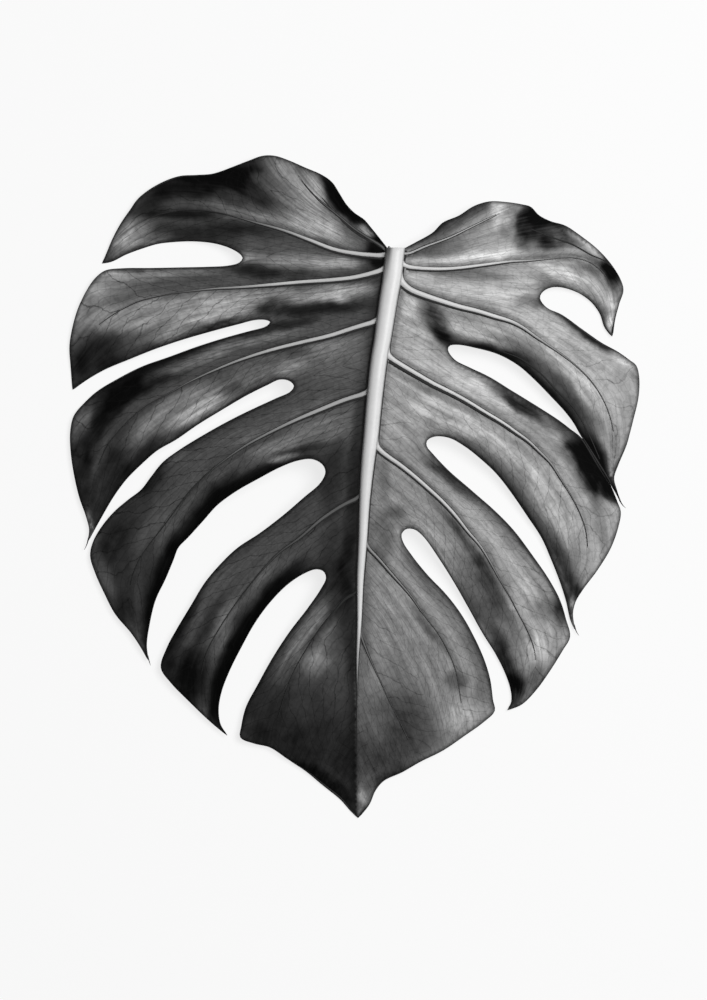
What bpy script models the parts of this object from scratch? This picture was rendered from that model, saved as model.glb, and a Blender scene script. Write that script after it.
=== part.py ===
"""One cut monstera leaf, lying face down on a table, so that its ribbed underside looks up.

The leaf grew as one piece, so it is one closed solid: a thin waved blade with deep slots, and on its
underside a raised midrib and the side veins that leave it, one for each lobe.

Frame: metres, +Z up. The table is z = 0, and +Y runs from the leaf's tip towards its stalk.
"""

import math
from bisect import bisect_left

import bmesh
import bpy
import numpy
from mathutils import Vector
from mathutils.geometry import delaunay_2d_cdt
from mathutils.kdtree import KDTree

# Driving dimensions, in metres.
LEAF_LENGTH = 0.298
BLADE_THICKNESS = 0.001
MIDRIB_RIDGE = 0.0048
VEIN_RIDGE = 0.0017

# The leaf is drawn on a sheet of squares, x to the right and y down towards the leaf's tip. All
# places below are counted in squares of that sheet, and the leaf's length sets a square's size.
SHEET_TOP, SHEET_TIP = 155.5, 818.0
SHEET_MIDDLE = (354.5, 486.75)
SQUARE = LEAF_LENGTH / (SHEET_TIP - SHEET_TOP)
MM = 0.001

SHEET_NECK, RIB_END = 249.0, 700.0

# The midrib: its middle line, then its half width and its rise above the table in millimetres for
# a few heights on the sheet.
MIDRIB_LINE = [
    (396, 249), (394.5, 262), (392.5, 280), (389, 300), (386, 320), (383, 340), (379.5, 360),
    (374.8, 400), (371, 440), (368.5, 460), (365, 500), (363, 540), (360.5, 580), (359.5, 620),
    (357.5, 660), (357, 700), (357, 750), (357.5, 790), (358, 818),
]
MIDRIB_HALF_WIDTH = [
    (249, 9.0), (275, 9.0), (340, 8.0), (440, 7.0), (500, 5.0), (560, 3.7), (620, 2.2), (665, 1.1),
    (700, 0.0),
]
MIDRIB_RISE = [
    (249, 13), (300, 15), (380, 17), (470, 17), (560, 15), (650, 10.5), (740, 5), (800, 0.8),
    (818, -1.5),
]

# The leaf's edge, one list for each side, from the stalk to the leaf's tip. A named point ends a
# stretch: corner_N and tip_N are the two ends of lobe N's outer edge, vein_N is where its vein
# points, and end_N is the blind inner end of the slot between lobes N and N + 1. Where no slot
# parts two lobes, one point on the edge has all three names.
LEFT_EDGE = [
    (387, 249, "start"), (378, 237.5), (369.5, 227), (364, 220.5), (354, 213.5), (346, 205),
    (338.5, 193), (332, 183), (322, 175.5, "corner_0"), (305, 168), (288, 160.5, "vein_0"),
    (275, 156.2), (263, 156), (247, 161.5, "tip_0 end_0 corner_1"), (230, 168), (213, 174),
    (196, 175.5), (180, 176.5), (165, 181.5), (150, 189.5), (138, 199), (130, 210), (120, 224),
    (112, 239), (105, 255.5, "vein_1"), (101.5, 262.5, "tip_1"),
    (111, 260.5), (125, 253.5), (141, 247.5), (158, 242.5), (178, 240.5), (197, 240.5),
    (216, 243), (231, 248), (240, 253.5), (243.2, 258, "end_1"), (239.5, 263), (228, 266),
    (208, 267), (180, 267.5), (150, 268), (122, 268.3), (105, 270.5, "corner_2"), (95, 278),
    (86, 291), (78, 308), (72.5, 327), (69.5, 346), (70.5, 366, "vein_2"), (72, 389, "tip_2"),
    (85, 379.5), (104, 368.5), (128, 358.5), (155, 348), (183, 338.5), (212, 330.4),
    (238, 323.8), (257, 319.6), (267, 320), (270.7, 322, "end_2"), (267, 326.5), (250, 331.5),
    (225, 338.5), (198, 347), (170, 357), (143, 366.5), (118, 379), (97, 391.5), (83, 404),
    (73.5, 416, "corner_3"), (70, 432), (70.5, 452), (73.5, 473), (79, 497),
    (86, 517, "vein_3"), (89, 530), (87.5, 541, "tip_3"),
    (93, 531), (102, 515), (113, 496.5), (126, 479), (141, 464), (157, 450), (176, 439),
    (197, 424.5), (220, 410.5), (245, 396), (267, 385), (280, 379.3), (290, 381),
    (294.5, 386, "end_3"), (291, 392), (276, 399), (253, 409.5), (228, 422), (203, 436),
    (180, 450), (163, 462.5), (151, 477), (141, 490), (128, 500), (113, 513), (100, 529),
    (92.5, 543), (90, 556, "corner_4"), (95, 573), (104, 593), (115, 614), (131, 633),
    (141, 648, "vein_4"), (147.5, 660, "tip_4"),
    (146, 645), (149, 624), (155, 600), (165, 579), (173, 560), (178, 547.5), (188, 537),
    (203, 520.5), (217, 505), (236, 491), (259, 478), (281, 466.5), (299, 460), (313, 459),
    (323, 464.5), (326, 472, "end_4"), (321, 483), (304, 498), (283, 516), (260, 533.5),
    (238, 548), (222, 563), (205, 583), (191, 606), (176, 631), (167, 648),
    (161, 668, "corner_5"), (171, 683), (188, 700.5), (205, 717, "vein_5"), (215, 726),
    (226.5, 735.5, "tip_5"),
    (220, 725), (218, 710), (221, 692), (229, 671), (241, 647), (255, 622), (271, 600.5),
    (288, 583.5), (304, 573), (316, 568.7), (324, 571), (326.5, 578, "end_5"), (321, 589.5),
    (308, 608.5), (290, 632), (273, 658), (258, 685), (246, 708), (241.5, 727),
    (240.5, 737.5, "corner_6"), (254, 743.5), (270, 747.5, "vein_6"), (288, 759.5), (306, 771),
    (322, 784), (341, 799.5), (351, 811), (358, 818, "tip_6"),
]
RIGHT_EDGE = [
    (405, 249, "start"), (415, 243.5), (433, 233), (443, 223), (459, 216), (474, 206.5),
    (489, 202, "corner_0"), (506, 202.5), (523, 205, "vein_0"), (530.5, 207), (539, 215.5),
    (551, 221.5), (565, 225.5, "tip_0 end_0 corner_1"), (581, 236), (598, 249.5), (612, 265),
    (621, 280), (623.5, 290), (619, 304), (615, 318, "vein_1"), (612.5, 335, "tip_1"),
    (606, 326), (601.5, 313), (592, 300.5), (578, 291.5), (560, 286.3), (549, 287.5),
    (541.5, 292.5), (539.5, 298.5, "end_1"), (546, 307.5), (562, 315.5), (582, 330),
    (601, 343), (618, 352), (630, 360), (636.5, 365, "corner_2"), (639.5, 376), (639, 396),
    (634, 418), (627, 443), (618, 464), (613.5, 478), (617, 491, "vein_2"),
    (621.5, 503, "tip_2"),
    (616, 492), (608.5, 478.5), (597.5, 461), (583, 437), (568.5, 414.5), (551, 395),
    (533, 377), (516, 363), (497.4, 353.2), (476, 347.3), (457.5, 344.2), (449, 345.5),
    (447, 350, "end_2"), (454, 360.5), (469, 368.5), (489, 378), (509, 390), (534, 405.5),
    (558, 420.5), (573, 431.5), (581.5, 439), (589, 450), (596, 462), (607, 479.5), (614, 493),
    (618, 503, "corner_3"), (621, 512), (618.5, 527), (611, 548), (597, 571), (583, 589.5),
    (575.5, 602), (573, 614, "vein_3"), (575, 629, "tip_3"),
    (571, 619), (567.5, 602), (561, 581), (552, 558.5), (542, 536.5), (528.5, 516),
    (513, 493.5), (498.5, 475), (483, 460), (466, 446.5), (449, 437.5), (434, 436.3),
    (426.5, 440.5, "end_3"), (426, 446), (433, 455.5), (450, 473.5), (470, 490.5),
    (492, 509.5), (513, 531), (532, 556), (548, 579.5), (559.5, 600.5), (566, 620),
    (570, 637, "corner_4"), (563, 650), (550, 671), (536, 690.5), (522, 704.5, "vein_4"),
    (508, 710.5, "tip_4"),
    (512, 703), (511.5, 690), (506, 673), (496, 653), (483, 632.5), (468.8, 606.5), (453.4, 579.6),
    (437, 554.4), (423, 535.5), (414.5, 529), (406, 528.5), (401, 534, "end_4"), (402.5, 542),
    (412, 556.5), (427, 575.5), (444.2, 593.6), (459, 612.5), (471.8, 634), (483, 658.6),
    (489.6, 680), (492.5, 700), (494.5, 711, "corner_5"), (483, 722.5), (465, 735.5, "vein_5"),
    (443, 750.5, "tip_5 end_5 corner_6"), (420, 762, "vein_6"), (402, 772.5), (384, 781),
    (375, 791), (369, 804.5), (363, 812), (358, 818, "tip_6"),
]

# The side veins, from the stalk down: where each leaves the midrib, its line outwards, and its
# half width at the root, in squares.
LEFT_VEINS = [
    (251, [(378, 244.5), (366, 237), (354, 229), (342, 219), (331, 210), (320, 201), (305, 185)], 1.1),
    (256.5, [(360, 254.5), (335, 250), (310, 240.5), (285, 231), (255, 222.5), (225, 214),
             (195, 209.5), (170, 211.5), (150, 217), (134, 226), (117, 241)], 2.6),
    (270, [(365, 275.5), (350, 278.5), (330, 280.5), (300, 282.5), (270, 285), (240, 287.2),
           (215, 288.5), (195, 290.5), (175, 293), (155, 297), (138, 301.5), (122, 309),
           (108, 317.5), (97, 326), (86, 340), (76, 356)], 2.6),
    (321.5, [(355, 328), (330, 336), (300, 343), (270, 350.5), (240, 360), (215, 370),
             (190, 381.5), (165, 395.5), (146, 406), (130, 419), (117, 433), (106, 448),
             (98.5, 465), (94, 483), (90, 502)], 2.6),
    (393, [(345, 400), (320, 410), (295, 420.5), (270, 432.5), (245, 446), (222, 462),
           (205, 476), (190, 491), (177, 508), (163, 527), (149, 545), (138, 562), (131.5, 580),
           (129, 600), (133, 628)], 2.5),
    (497, [(343, 505), (321, 519.5), (300, 537.5), (280, 552), (264, 568), (246, 590),
           (232, 609), (219, 629), (208, 649), (202, 670), (201, 692)], 1.9),
    (592, [(345, 599), (334.5, 611), (321, 627), (307, 648), (294, 671), (284, 697),
           (276, 725)], 1.0),
]
RIGHT_VEINS = [
    (256, [(413, 252.3), (425, 247), (450, 237.6), (473, 226.3), (494, 216), (510, 209)], 1.2),
    (266.5, [(413, 268), (425, 269), (442, 269.3), (459, 268.2), (476.5, 266), (494, 263.6),
             (511, 261.5), (528.5, 260.6), (546, 258.9), (563, 257.5), (577, 258), (590, 262),
             (602, 271), (611, 285), (614, 302)], 2.2),
    (283, [(411, 290.4), (425, 296), (442, 301.6), (459, 306.8), (476.5, 311), (494, 316.3),
           (511, 321.5), (523, 327.6), (534, 335.4), (546, 343.5), (560, 353), (573, 363),
           (588, 377), (600, 393), (609, 412), (614, 432), (614, 452), (610.8, 471),
           (613.5, 483)], 3.2),
    (357, [(400, 364.6), (416, 374), (433, 383.7), (450.5, 392.3), (468, 401.8), (485, 412.2),
           (502.5, 422.6), (516, 432), (528.5, 441), (539, 451), (551, 463.3), (561, 479),
           (572, 497), (580.5, 514), (586, 530), (588, 549), (585, 569), (579, 589)], 2.8),
    (448, [(388.5, 457), (399, 464.2), (414, 476), (428.5, 488.6), (442, 501), (455, 515),
           (468, 531.5), (480, 545.5), (490, 561.7), (500, 580), (510, 597), (518.5, 613.5),
           (526.5, 628.5), (533, 644), (536, 660), (533, 680)], 2.5),
    (546, [(380, 560), (390, 571.7), (401.7, 585), (412, 597.5), (421.7, 611.7), (430, 622.5),
           (438.5, 634), (447, 649), (455, 668), (461, 700)], 1.3),
    (635, [(366.5, 650), (372, 663), (380, 680), (389, 700), (398, 718), (409, 741)], 0.9),
]
VEIN_END_WIDTH = 0.30

# The form, in millimetres above the table: each lobe's corner, vein end and tip, then the blind
# end of the slot beyond it. A touch less than nothing presses the blade flat on the table.
LEFT_RISE = [
    (8, 7, 5.5, 5.5), (5.5, 1, -1.2, 8), (3, 0.5, -1.5, 10.5), (2, 2, 2, 12.5), (2, 3, 2, 14.5),
    (4, 3, 2, 12), (4, 3, -1.5, 0),
]
RIGHT_RISE = [
    (8, 7, 4.5, 4.5), (4.5, 2, 1, 7.5), (-1.5, 4, 4, 11.5), (1.5, 1.5, 1, 13.5), (3, 2, 1, 13),
    (4, 3, 3, 3), (3, 3, -1.5, 0),
]
# How far the two free edges of each lobe curl, in millimetres: the edge nearer the stalk, then the
# one nearer the tip. Above nothing the edge curls up towards the viewer, below it down.
LEFT_LIPS = [(2.5, 0), (0, -1.5), (-1, 2.5), (-2.5, 3), (-2, 3.5), (-2, 3.5), (-2, 0)]
RIGHT_LIPS = [(-1.5, 0), (0, -1.5), (1, -1), (1.5, -2.5), (2, -2.5), (2, -1), (0, 0)]
# An edge between two held points hangs a little, a vein stands a little proud, an edge's curl dies
# out over a width, and the skin between all the lines is puffed by a small load.
EDGE_SAG = 1.5
VEIN_CROWN = 2.0
LIP_WIDTH = 17.0
PUFF = 0.0012

# How finely the blade is cut, in squares.
BLADE_STEP = 17.0
EDGE_STEP = 9.0
VEIN_STEP = 13.0
RIB_STEP = 15.0
CREASE_STEPS = 9
CURVE_STEPS = 12
LOOSE_ROOM = 0.55
SAME_POINT = 0.02

# A rib's round back: its shoulder's share of the half width, and of the height of the crest.
SHOULDER, SHOULDER_HEIGHT = 0.62, 0.80
FULL_RIB, FULL_VEIN = 8.0, 2.6

# A vein stops this near the edge, and holds the blade more softly the less room it has.
VEIN_CLEAR = 4.0
VEIN_ROOM = 40.0
VEIN_GRIP = 0.05
FIRM = 1000.0
FLATTEST, STEEPEST = 0.02, 100.0
SETTLED = 1e-9

MATERIAL_BLADE = ("leaf_blade", (0.105, 0.105, 0.105, 1.0), 0.46)
MATERIAL_RIB = ("leaf_rib", (0.62, 0.62, 0.62, 1.0), 0.40)


def mix(a, b, share):
    return a + (b - a) * share


def read_table(table, key):
    """The value at a key, by straight lines between the rows of a two-column table."""
    if key <= table[0][0]:
        return table[0][1]
    for (k0, v0), (k1, v1) in zip(table, table[1:]):
        if key <= k1:
            return mix(v0, v1, (key - k0) / (k1 - k0))
    return table[-1][1]


def smooth_curve(knots, steps=CURVE_STEPS):
    """A centripetal Catmull-Rom curve through the knots, with that many points for each stretch."""
    knots = [Vector(k[:2]) for k in knots]
    ends = [2 * knots[0] - knots[1], *knots, 2 * knots[-1] - knots[-2]]
    points = [knots[0]]
    for p0, p1, p2, p3 in zip(ends, ends[1:], ends[2:], ends[3:]):
        t0 = 0.0
        t1 = t0 + math.sqrt((p1 - p0).length)
        t2 = t1 + math.sqrt((p2 - p1).length)
        t3 = t2 + math.sqrt((p3 - p2).length)
        for i in range(1, steps + 1):
            t = mix(t1, t2, i / steps)
            a1 = p0.lerp(p1, (t - t0) / (t1 - t0))
            a2 = p1.lerp(p2, (t - t1) / (t2 - t1))
            a3 = p2.lerp(p3, (t - t2) / (t3 - t2))
            b1 = a1.lerp(a2, (t - t0) / (t2 - t0))
            b2 = a2.lerp(a3, (t - t1) / (t3 - t1))
            points.append(b1.lerp(b2, (t - t1) / (t2 - t1)))
    return points


class Path:
    """A line of points, read at any share of its length."""

    def __init__(self, points):
        self.points = points
        self.run = [0.0]
        for a, b in zip(points, points[1:]):
            self.run.append(self.run[-1] + (b - a).length)
        self.length = self.run[-1]

    def at(self, share):
        distance = min(max(share, 0.0), 1.0) * self.length
        i = min(max(bisect_left(self.run, distance), 1), len(self.run) - 1)
        step = self.run[i] - self.run[i - 1]
        return self.points[i - 1].lerp(self.points[i], (distance - self.run[i - 1]) / step)

    def across(self, share):
        """The unit direction that points to the right of the line there."""
        along = self.at(share + 0.01) - self.at(share - 0.01)
        return Vector((-along.y, along.x)).normalized()


MIDRIB = smooth_curve(MIDRIB_LINE)


def midrib_at(y, side):
    """The midrib at that height of the sheet: side -1 is its left foot, 0 its crest, 1 its right."""
    i = min(max(bisect_left([p.y for p in MIDRIB], y), 1), len(MIDRIB) - 1)
    a, b = MIDRIB[i - 1], MIDRIB[i]
    x = mix(a.x, b.x, (y - a.y) / (b.y - a.y))
    return Vector((x + side * read_table(MIDRIB_HALF_WIDTH, y), y))


class Sheet:
    """The blade seen from above: its points with their rise and ridge, and the lines they lie on."""

    def __init__(self):
        self.points, self.rises, self.grips, self.ridges, self.lips = [], [], [], [], []
        self.ribbed, self.lines, self.faces = set(), [], []

    def point(self, place, rise=0.0, grip=0.0, ridge=0.0, lip=0.0):
        """A new point. Its grip says how firmly it is held at its rise: with none it is free."""
        self.points.append(place)
        self.rises.append(rise)
        self.grips.append(grip)
        self.ridges.append(ridge)
        self.lips.append(lip)
        return len(self.points) - 1

    def line(self, members):
        self.lines += zip(members, members[1:])


def is_tip(name):
    """A lobe's own tip is sharp. A place with more names than that lies on a smooth edge."""
    return name.startswith("tip_") and " " not in name


def edge_line(table, rises, lips):
    """One side of the leaf's edge as places with a rise and a lip, from the stalk to the tip."""
    level = {"start": read_table(MIDRIB_RISE, SHEET_NECK)}
    for n, row in enumerate(rises):
        for name, rise in zip(("corner", "vein", "tip", "end"), row):
            level[f"{name}_{n}"] = rise
    sharp = [0] + [i for i, k in enumerate(table) if len(k) > 2 and is_tip(k[2])]
    places = []
    for first, last in zip(sharp, sharp[1:]):
        curve = smooth_curve(table[first:last + 1])
        places += curve[1:] if places else curve
    named = [(i * CURVE_STEPS, k[2]) for i, k in enumerate(table) if len(k) > 2]
    found = [(places[0], level["start"], 0.0)]
    for (first, name), (last, next_name) in zip(named, named[1:]):
        stretch = Path(places[first:last + 1])
        lip = 0.0
        if is_tip(name):
            lip = lips[int(name[-1])][1]
        elif name == "start" or name.startswith("end_"):
            lip = lips[int(next_name[-1])][0]
        steps = max(round(stretch.length / EDGE_STEP), 1)
        for i in range(1, steps + 1):
            share = i / steps
            wave = math.sin(math.pi * share)
            rise = mix(level[name.split()[0]], level[next_name.split()[0]], share)
            if lip:
                rise -= EDGE_SAG * wave
            found.append((stretch.at(share), rise, lip * wave ** 0.7))
    return found


def draw_edge(sheet):
    """The whole edge as one loop. It crosses the midrib at the cut end of the stalk."""
    loop = []
    for place, rise, lip in edge_line(LEFT_EDGE, LEFT_RISE, LEFT_LIPS):
        loop.append(sheet.point(place, rise, FIRM, lip=lip))
    for place, rise, lip in reversed(edge_line(RIGHT_EDGE, RIGHT_RISE, RIGHT_LIPS)[:-1]):
        loop.append(sheet.point(place, rise, FIRM, lip=lip))
    return loop


def foot_heights(rows, veins):
    """Where a foot of the midrib has points: at the even rows, and at each vein's three lines."""
    marks = [y + width * bank for y, _, width in veins for bank in (-1, 0, 1)]
    free = [y for y in rows[1:] if all(abs(y - mark) > RIB_STEP * 0.3 for mark in marks)]
    return sorted(free + marks)


def midrib_line(sheet, across, heights):
    """One line of points along the midrib, at a share of its half width."""
    members = []
    for y in heights:
        width = min(read_table(MIDRIB_HALF_WIDTH, y) / FULL_RIB, 1.0)
        share = {0.0: 1.0, SHOULDER: SHOULDER_HEIGHT}.get(abs(across), 0.0)
        ridge = MIDRIB_RIDGE / MM * share * width ** 0.8
        rise = read_table(MIDRIB_RISE, y)
        members.append(sheet.point(midrib_at(y, across), rise, FIRM, ridge))
    return members


def draw_midrib(sheet, loop):
    """The midrib: crest, two shoulders and two feet, that meet in one point where it runs out.

    Gives the points of its cut end, and each foot's points by side and height.
    """
    steps = round((RIB_END - SHEET_NECK) / RIB_STEP)
    rows = [mix(SHEET_NECK, RIB_END, i / steps) for i in range(steps)]
    end = sheet.point(midrib_at(RIB_END, 0), read_table(MIDRIB_RISE, RIB_END), FIRM)
    backs = [midrib_line(sheet, across, rows) for across in (SHOULDER, 0.0, -SHOULDER)]
    lines = list(backs)
    feet = {}
    for side, veins, edge_point in ((-1, LEFT_VEINS, loop[0]), (1, RIGHT_VEINS, loop[-1])):
        heights = foot_heights(rows, veins)
        members = midrib_line(sheet, side, heights)
        feet.update(((side, y), member) for y, member in zip(heights, members))
        lines.append([edge_point, *members])
    for members in lines:
        sheet.line([*members, end])
        sheet.ribbed |= {*members, end}
    crease = [end]
    for i in range(1, CREASE_STEPS):
        y = mix(RIB_END, SHEET_TIP, i / CREASE_STEPS)
        crease.append(sheet.point(midrib_at(y, 0), read_table(MIDRIB_RISE, y), FIRM))
    sheet.line(crease)
    return [members[0] for members in backs], feet


def draw_vein(sheet, vein, edge_rise, edge_places, side, feet):
    """A side vein: a crest between two feet, from the midrib to where the blade's edge is near."""
    root_y, line, width, end = vein
    path = Path(smooth_curve([midrib_at(root_y, side), *line, end]))
    root_rise = read_table(MIDRIB_RISE, root_y)
    steps = round(path.length / VEIN_STEP)
    crest = [feet[(side, root_y)]]
    banks = {-1: [feet[(side, root_y - width)]], 1: [feet[(side, root_y + width)]]}
    for i in range(1, steps):
        share = i / steps
        place = path.at(share)
        half_width = mix(width, VEIN_END_WIDTH, share ** 0.8)
        _, _, room = edge_places.find((place.x, place.y, 0))
        if i > 2 and room < VEIN_CLEAR + half_width:
            break
        rise = mix(root_rise, edge_rise, share) + VEIN_CROWN * math.sin(math.pi * share)
        grip = VEIN_GRIP * width * min(room / VEIN_ROOM, 1.0) ** 2
        ridge = VEIN_RIDGE / MM * (half_width / FULL_VEIN) ** 0.7
        crest.append(sheet.point(place, rise, grip, ridge))
        for bank, members in banks.items():
            offset = path.across(share) * half_width * bank * side
            members.append(sheet.point(place + offset, rise, grip))
    for members in (crest, banks[-1], banks[1]):
        sheet.line(members)
        sheet.ribbed |= set(members)


def fill_blade(sheet, edge_places):
    """Loose points between the lines, in rows of even triangles."""
    taken = KDTree(len(sheet.points))
    for i, p in enumerate(sheet.points):
        taken.insert((p.x, p.y, 0), i)
    taken.balance()
    low = [min(p[k] for p in sheet.points) for k in (0, 1)]
    high = [max(p[k] for p in sheet.points) for k in (0, 1)]
    row_step = BLADE_STEP * math.sqrt(0.75)
    for row in range(int((high[1] - low[1]) / row_step) + 1):
        for column in range(int((high[0] - low[0]) / BLADE_STEP) + 1):
            x = low[0] + (column + 0.5 * (row % 2)) * BLADE_STEP
            y = low[1] + row * row_step
            if taken.find((x, y, 0))[2] > BLADE_STEP * LOOSE_ROOM:
                sheet.point(Vector((x, y)))


def join_triangles(sheet, loop):
    """Join the points as triangles that keep every line, and drop what lies outside the edge."""
    rim = list(zip(loop, loop[1:] + loop[:1]))
    result = delaunay_2d_cdt(sheet.points, rim + sheet.lines, [loop[::-1]], 1, SAME_POINT)
    places, _, faces, old_points, _, old_faces = result
    inside = [face for face, old in zip(faces, old_faces) if old]
    kept = sorted({v for face in inside for v in face})
    renumber = {v: i for i, v in enumerate(kept)}
    flat = Sheet()
    for v in kept:
        old = old_points[v]
        source = old[0] if old else None
        if source is None:
            flat.point(Vector(places[v]))
            continue
        new = flat.point(
            Vector(places[v]), sheet.rises[source], sheet.grips[source], sheet.ridges[source]
        )
        if source in sheet.ribbed:
            flat.ribbed.add(new)
    for face in inside:
        a, b, c = (renumber[v] for v in face)
        pa, pb, pc = (flat.points[n] for n in (a, b, c))
        area = (pb.x - pa.x) * (pc.y - pa.y) - (pb.y - pa.y) * (pc.x - pa.x)
        flat.faces.append((a, b, c) if area < 0 else (c, b, a))
    return flat


def relax(sheet):
    """Let the free points hang between the fixed ones like a taut skin that is puffed a little."""
    places = numpy.array([p[:] for p in sheet.points])
    faces = numpy.array(sheet.faces)
    count = len(places)
    starts, ends, weights = [], [], []
    load = numpy.zeros(count)
    for k in range(3):
        a, b, c = faces[:, k], faces[:, (k + 1) % 3], faces[:, (k + 2) % 3]
        u, v = places[a] - places[c], places[b] - places[c]
        cross = numpy.abs(u[:, 0] * v[:, 1] - u[:, 1] * v[:, 0])
        cotangent = numpy.clip((u * v).sum(axis=1) / cross, FLATTEST, STEEPEST) / 2
        starts += [a, b]
        ends += [b, a]
        weights += [cotangent, cotangent]
        load += numpy.bincount(a, cross / 6, count)
    starts, ends = numpy.concatenate(starts), numpy.concatenate(ends)
    weights = numpy.concatenate(weights)
    total = numpy.bincount(starts, weights, count)
    grips = numpy.array(sheet.grips)
    rise = numpy.array(sheet.rises, float)
    total += grips
    wanted = grips * rise + PUFF * load

    def pull(field):
        return total * field - numpy.bincount(starts, weights * field[ends], count)

    residual = wanted - pull(rise)
    guess = residual / total
    energy = residual @ guess
    step = guess.copy()
    while energy > SETTLED:
        pulled = pull(step)
        size = energy / (step @ pulled)
        rise += size * step
        residual -= size * pulled
        guess = residual / total
        fresh = residual @ guess
        step = guess + (fresh / energy) * step
        energy = fresh
    return rise


def blade_sheet():
    sheet = Sheet()
    loop = draw_edge(sheet)
    edge_places = KDTree(len(loop))
    for i, n in enumerate(loop):
        edge_places.insert((sheet.points[n].x, sheet.points[n].y, 0), i)
    edge_places.balance()
    edge_lips = [sheet.lips[n] for n in loop]
    neck, feet = draw_midrib(sheet, loop)
    for side, veins, rises, ends in (
        (-1, LEFT_VEINS, LEFT_RISE, vein_ends(LEFT_EDGE)),
        (1, RIGHT_VEINS, RIGHT_RISE, vein_ends(RIGHT_EDGE)),
    ):
        for vein, row, end in zip(veins, rises, ends):
            draw_vein(sheet, (*vein, end), row[1], edge_places, side, feet)
    fill_blade(sheet, edge_places)
    flat = join_triangles(sheet, loop + neck)
    rise = relax(flat)
    for i, p in enumerate(flat.points):
        _, nearest, distance = edge_places.find((p.x, p.y, 0))
        rise[i] += edge_lips[nearest] * max(1.0 - distance / LIP_WIDTH, 0.0) ** 2
    flat.rises = [max(r, 0.0) for r in rise]
    return flat


def vein_ends(table):
    return [k[:2] for k in table if len(k) > 2 and k[2].startswith("vein_")]


def thicken(sheet):
    """The closed solid: the ribbed underside on top, the smooth face below, a wall all round."""
    mesh = bmesh.new()
    upper, lower = [], []
    for place, rise, ridge in zip(sheet.points, sheet.rises, sheet.ridges):
        x = (place.x - SHEET_MIDDLE[0]) * SQUARE
        y = (SHEET_MIDDLE[1] - place.y) * SQUARE
        lower.append(mesh.verts.new((x, y, rise * MM)))
        upper.append(mesh.verts.new((x, y, rise * MM + BLADE_THICKNESS + ridge * MM)))
    sides = set()
    for a, b, c in sheet.faces:
        top = mesh.faces.new((upper[a], upper[b], upper[c]))
        top.material_index = int(sheet.ribbed.issuperset((a, b, c)))
        mesh.faces.new((lower[c], lower[b], lower[a]))
        sides |= {(a, b), (b, c), (c, a)}
    for a, b in sorted(sides):
        if (b, a) not in sides:
            mesh.faces.new((upper[b], upper[a], lower[a], lower[b]))
    for face in mesh.faces:
        face.smooth = True
    return mesh


def material(name, colour, roughness):
    made = bpy.data.materials.new(name)
    made.use_nodes = True
    shader = made.node_tree.nodes["Principled BSDF"]
    shader.inputs["Base Color"].default_value = colour
    shader.inputs["Roughness"].default_value = roughness
    shader.inputs["Metallic"].default_value = 0.0
    return made


def build():
    for old in list(bpy.data.objects):
        bpy.data.objects.remove(old)
    solid = thicken(blade_sheet())
    data = bpy.data.meshes.new("leaf")
    solid.to_mesh(data)
    solid.free()
    for spec in (MATERIAL_BLADE, MATERIAL_RIB):
        data.materials.append(material(*spec))
    data.set_sharp_from_angle(angle=math.radians(50))
    leaf = bpy.data.objects.new("leaf", data)
    bpy.context.scene.collection.objects.link(leaf)
    return leaf


build()
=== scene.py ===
# %% [markdown]
# # A monstera leaf, lying face down
# The object is one cut leaf, seen on its underside: a waved blade with deep slots, a stout pale
# midrib, and a pale side vein for each lobe. The packed model is loaded first. It gives the place and
# the size, and every piece made below lies where it says.

import math
from bisect import bisect_left

import bmesh
import bpy
import numpy
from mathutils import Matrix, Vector
from mathutils.bvhtree import BVHTree
from mathutils.geometry import delaunay_2d_cdt
from mathutils.kdtree import KDTree
from mathutils.noise import noise


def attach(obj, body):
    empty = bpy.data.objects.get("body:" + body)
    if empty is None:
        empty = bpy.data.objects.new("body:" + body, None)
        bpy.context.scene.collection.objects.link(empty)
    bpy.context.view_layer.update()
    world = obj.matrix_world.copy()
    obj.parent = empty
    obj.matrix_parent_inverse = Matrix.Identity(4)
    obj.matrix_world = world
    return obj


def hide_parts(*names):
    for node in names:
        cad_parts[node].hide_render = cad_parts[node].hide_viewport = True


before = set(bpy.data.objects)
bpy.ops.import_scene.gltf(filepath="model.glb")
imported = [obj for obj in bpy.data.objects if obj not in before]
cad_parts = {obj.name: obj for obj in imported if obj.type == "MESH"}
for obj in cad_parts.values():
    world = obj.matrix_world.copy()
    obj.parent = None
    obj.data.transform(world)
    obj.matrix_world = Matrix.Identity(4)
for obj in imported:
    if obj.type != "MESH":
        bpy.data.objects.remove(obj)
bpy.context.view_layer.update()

# %% [markdown]
# ## The sheet of squares
# A leaf has no drawing with round numbers, so its shape is read off a sheet of squares, as a pattern
# cutter would do: x to the right, y down towards the tip. One square is about half a millimetre. Only
# the points that the shape needs are kept, and a smooth curve joins them.

# %% Size of the sheet
LEAF_LENGTH = 0.298
MM = 0.001
SHEET_TOP, SHEET_TIP = 155.5, 818.0
SHEET_MIDDLE = (354.5, 486.75)
SHEET_NECK, RIB_END = 249.0, 700.0
SQUARE = LEAF_LENGTH / (SHEET_TIP - SHEET_TOP)
print(f"one square is {SQUARE / MM:.3f} mm")

# %% [markdown]
# ## The midrib's line
# The midrib runs from the cut stalk to the leaf's tip and bends a little on its way. One list holds its
# middle line. Its half width in squares, and its rise above the table in millimetres, are read at any
# height of the sheet from two short tables.

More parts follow.
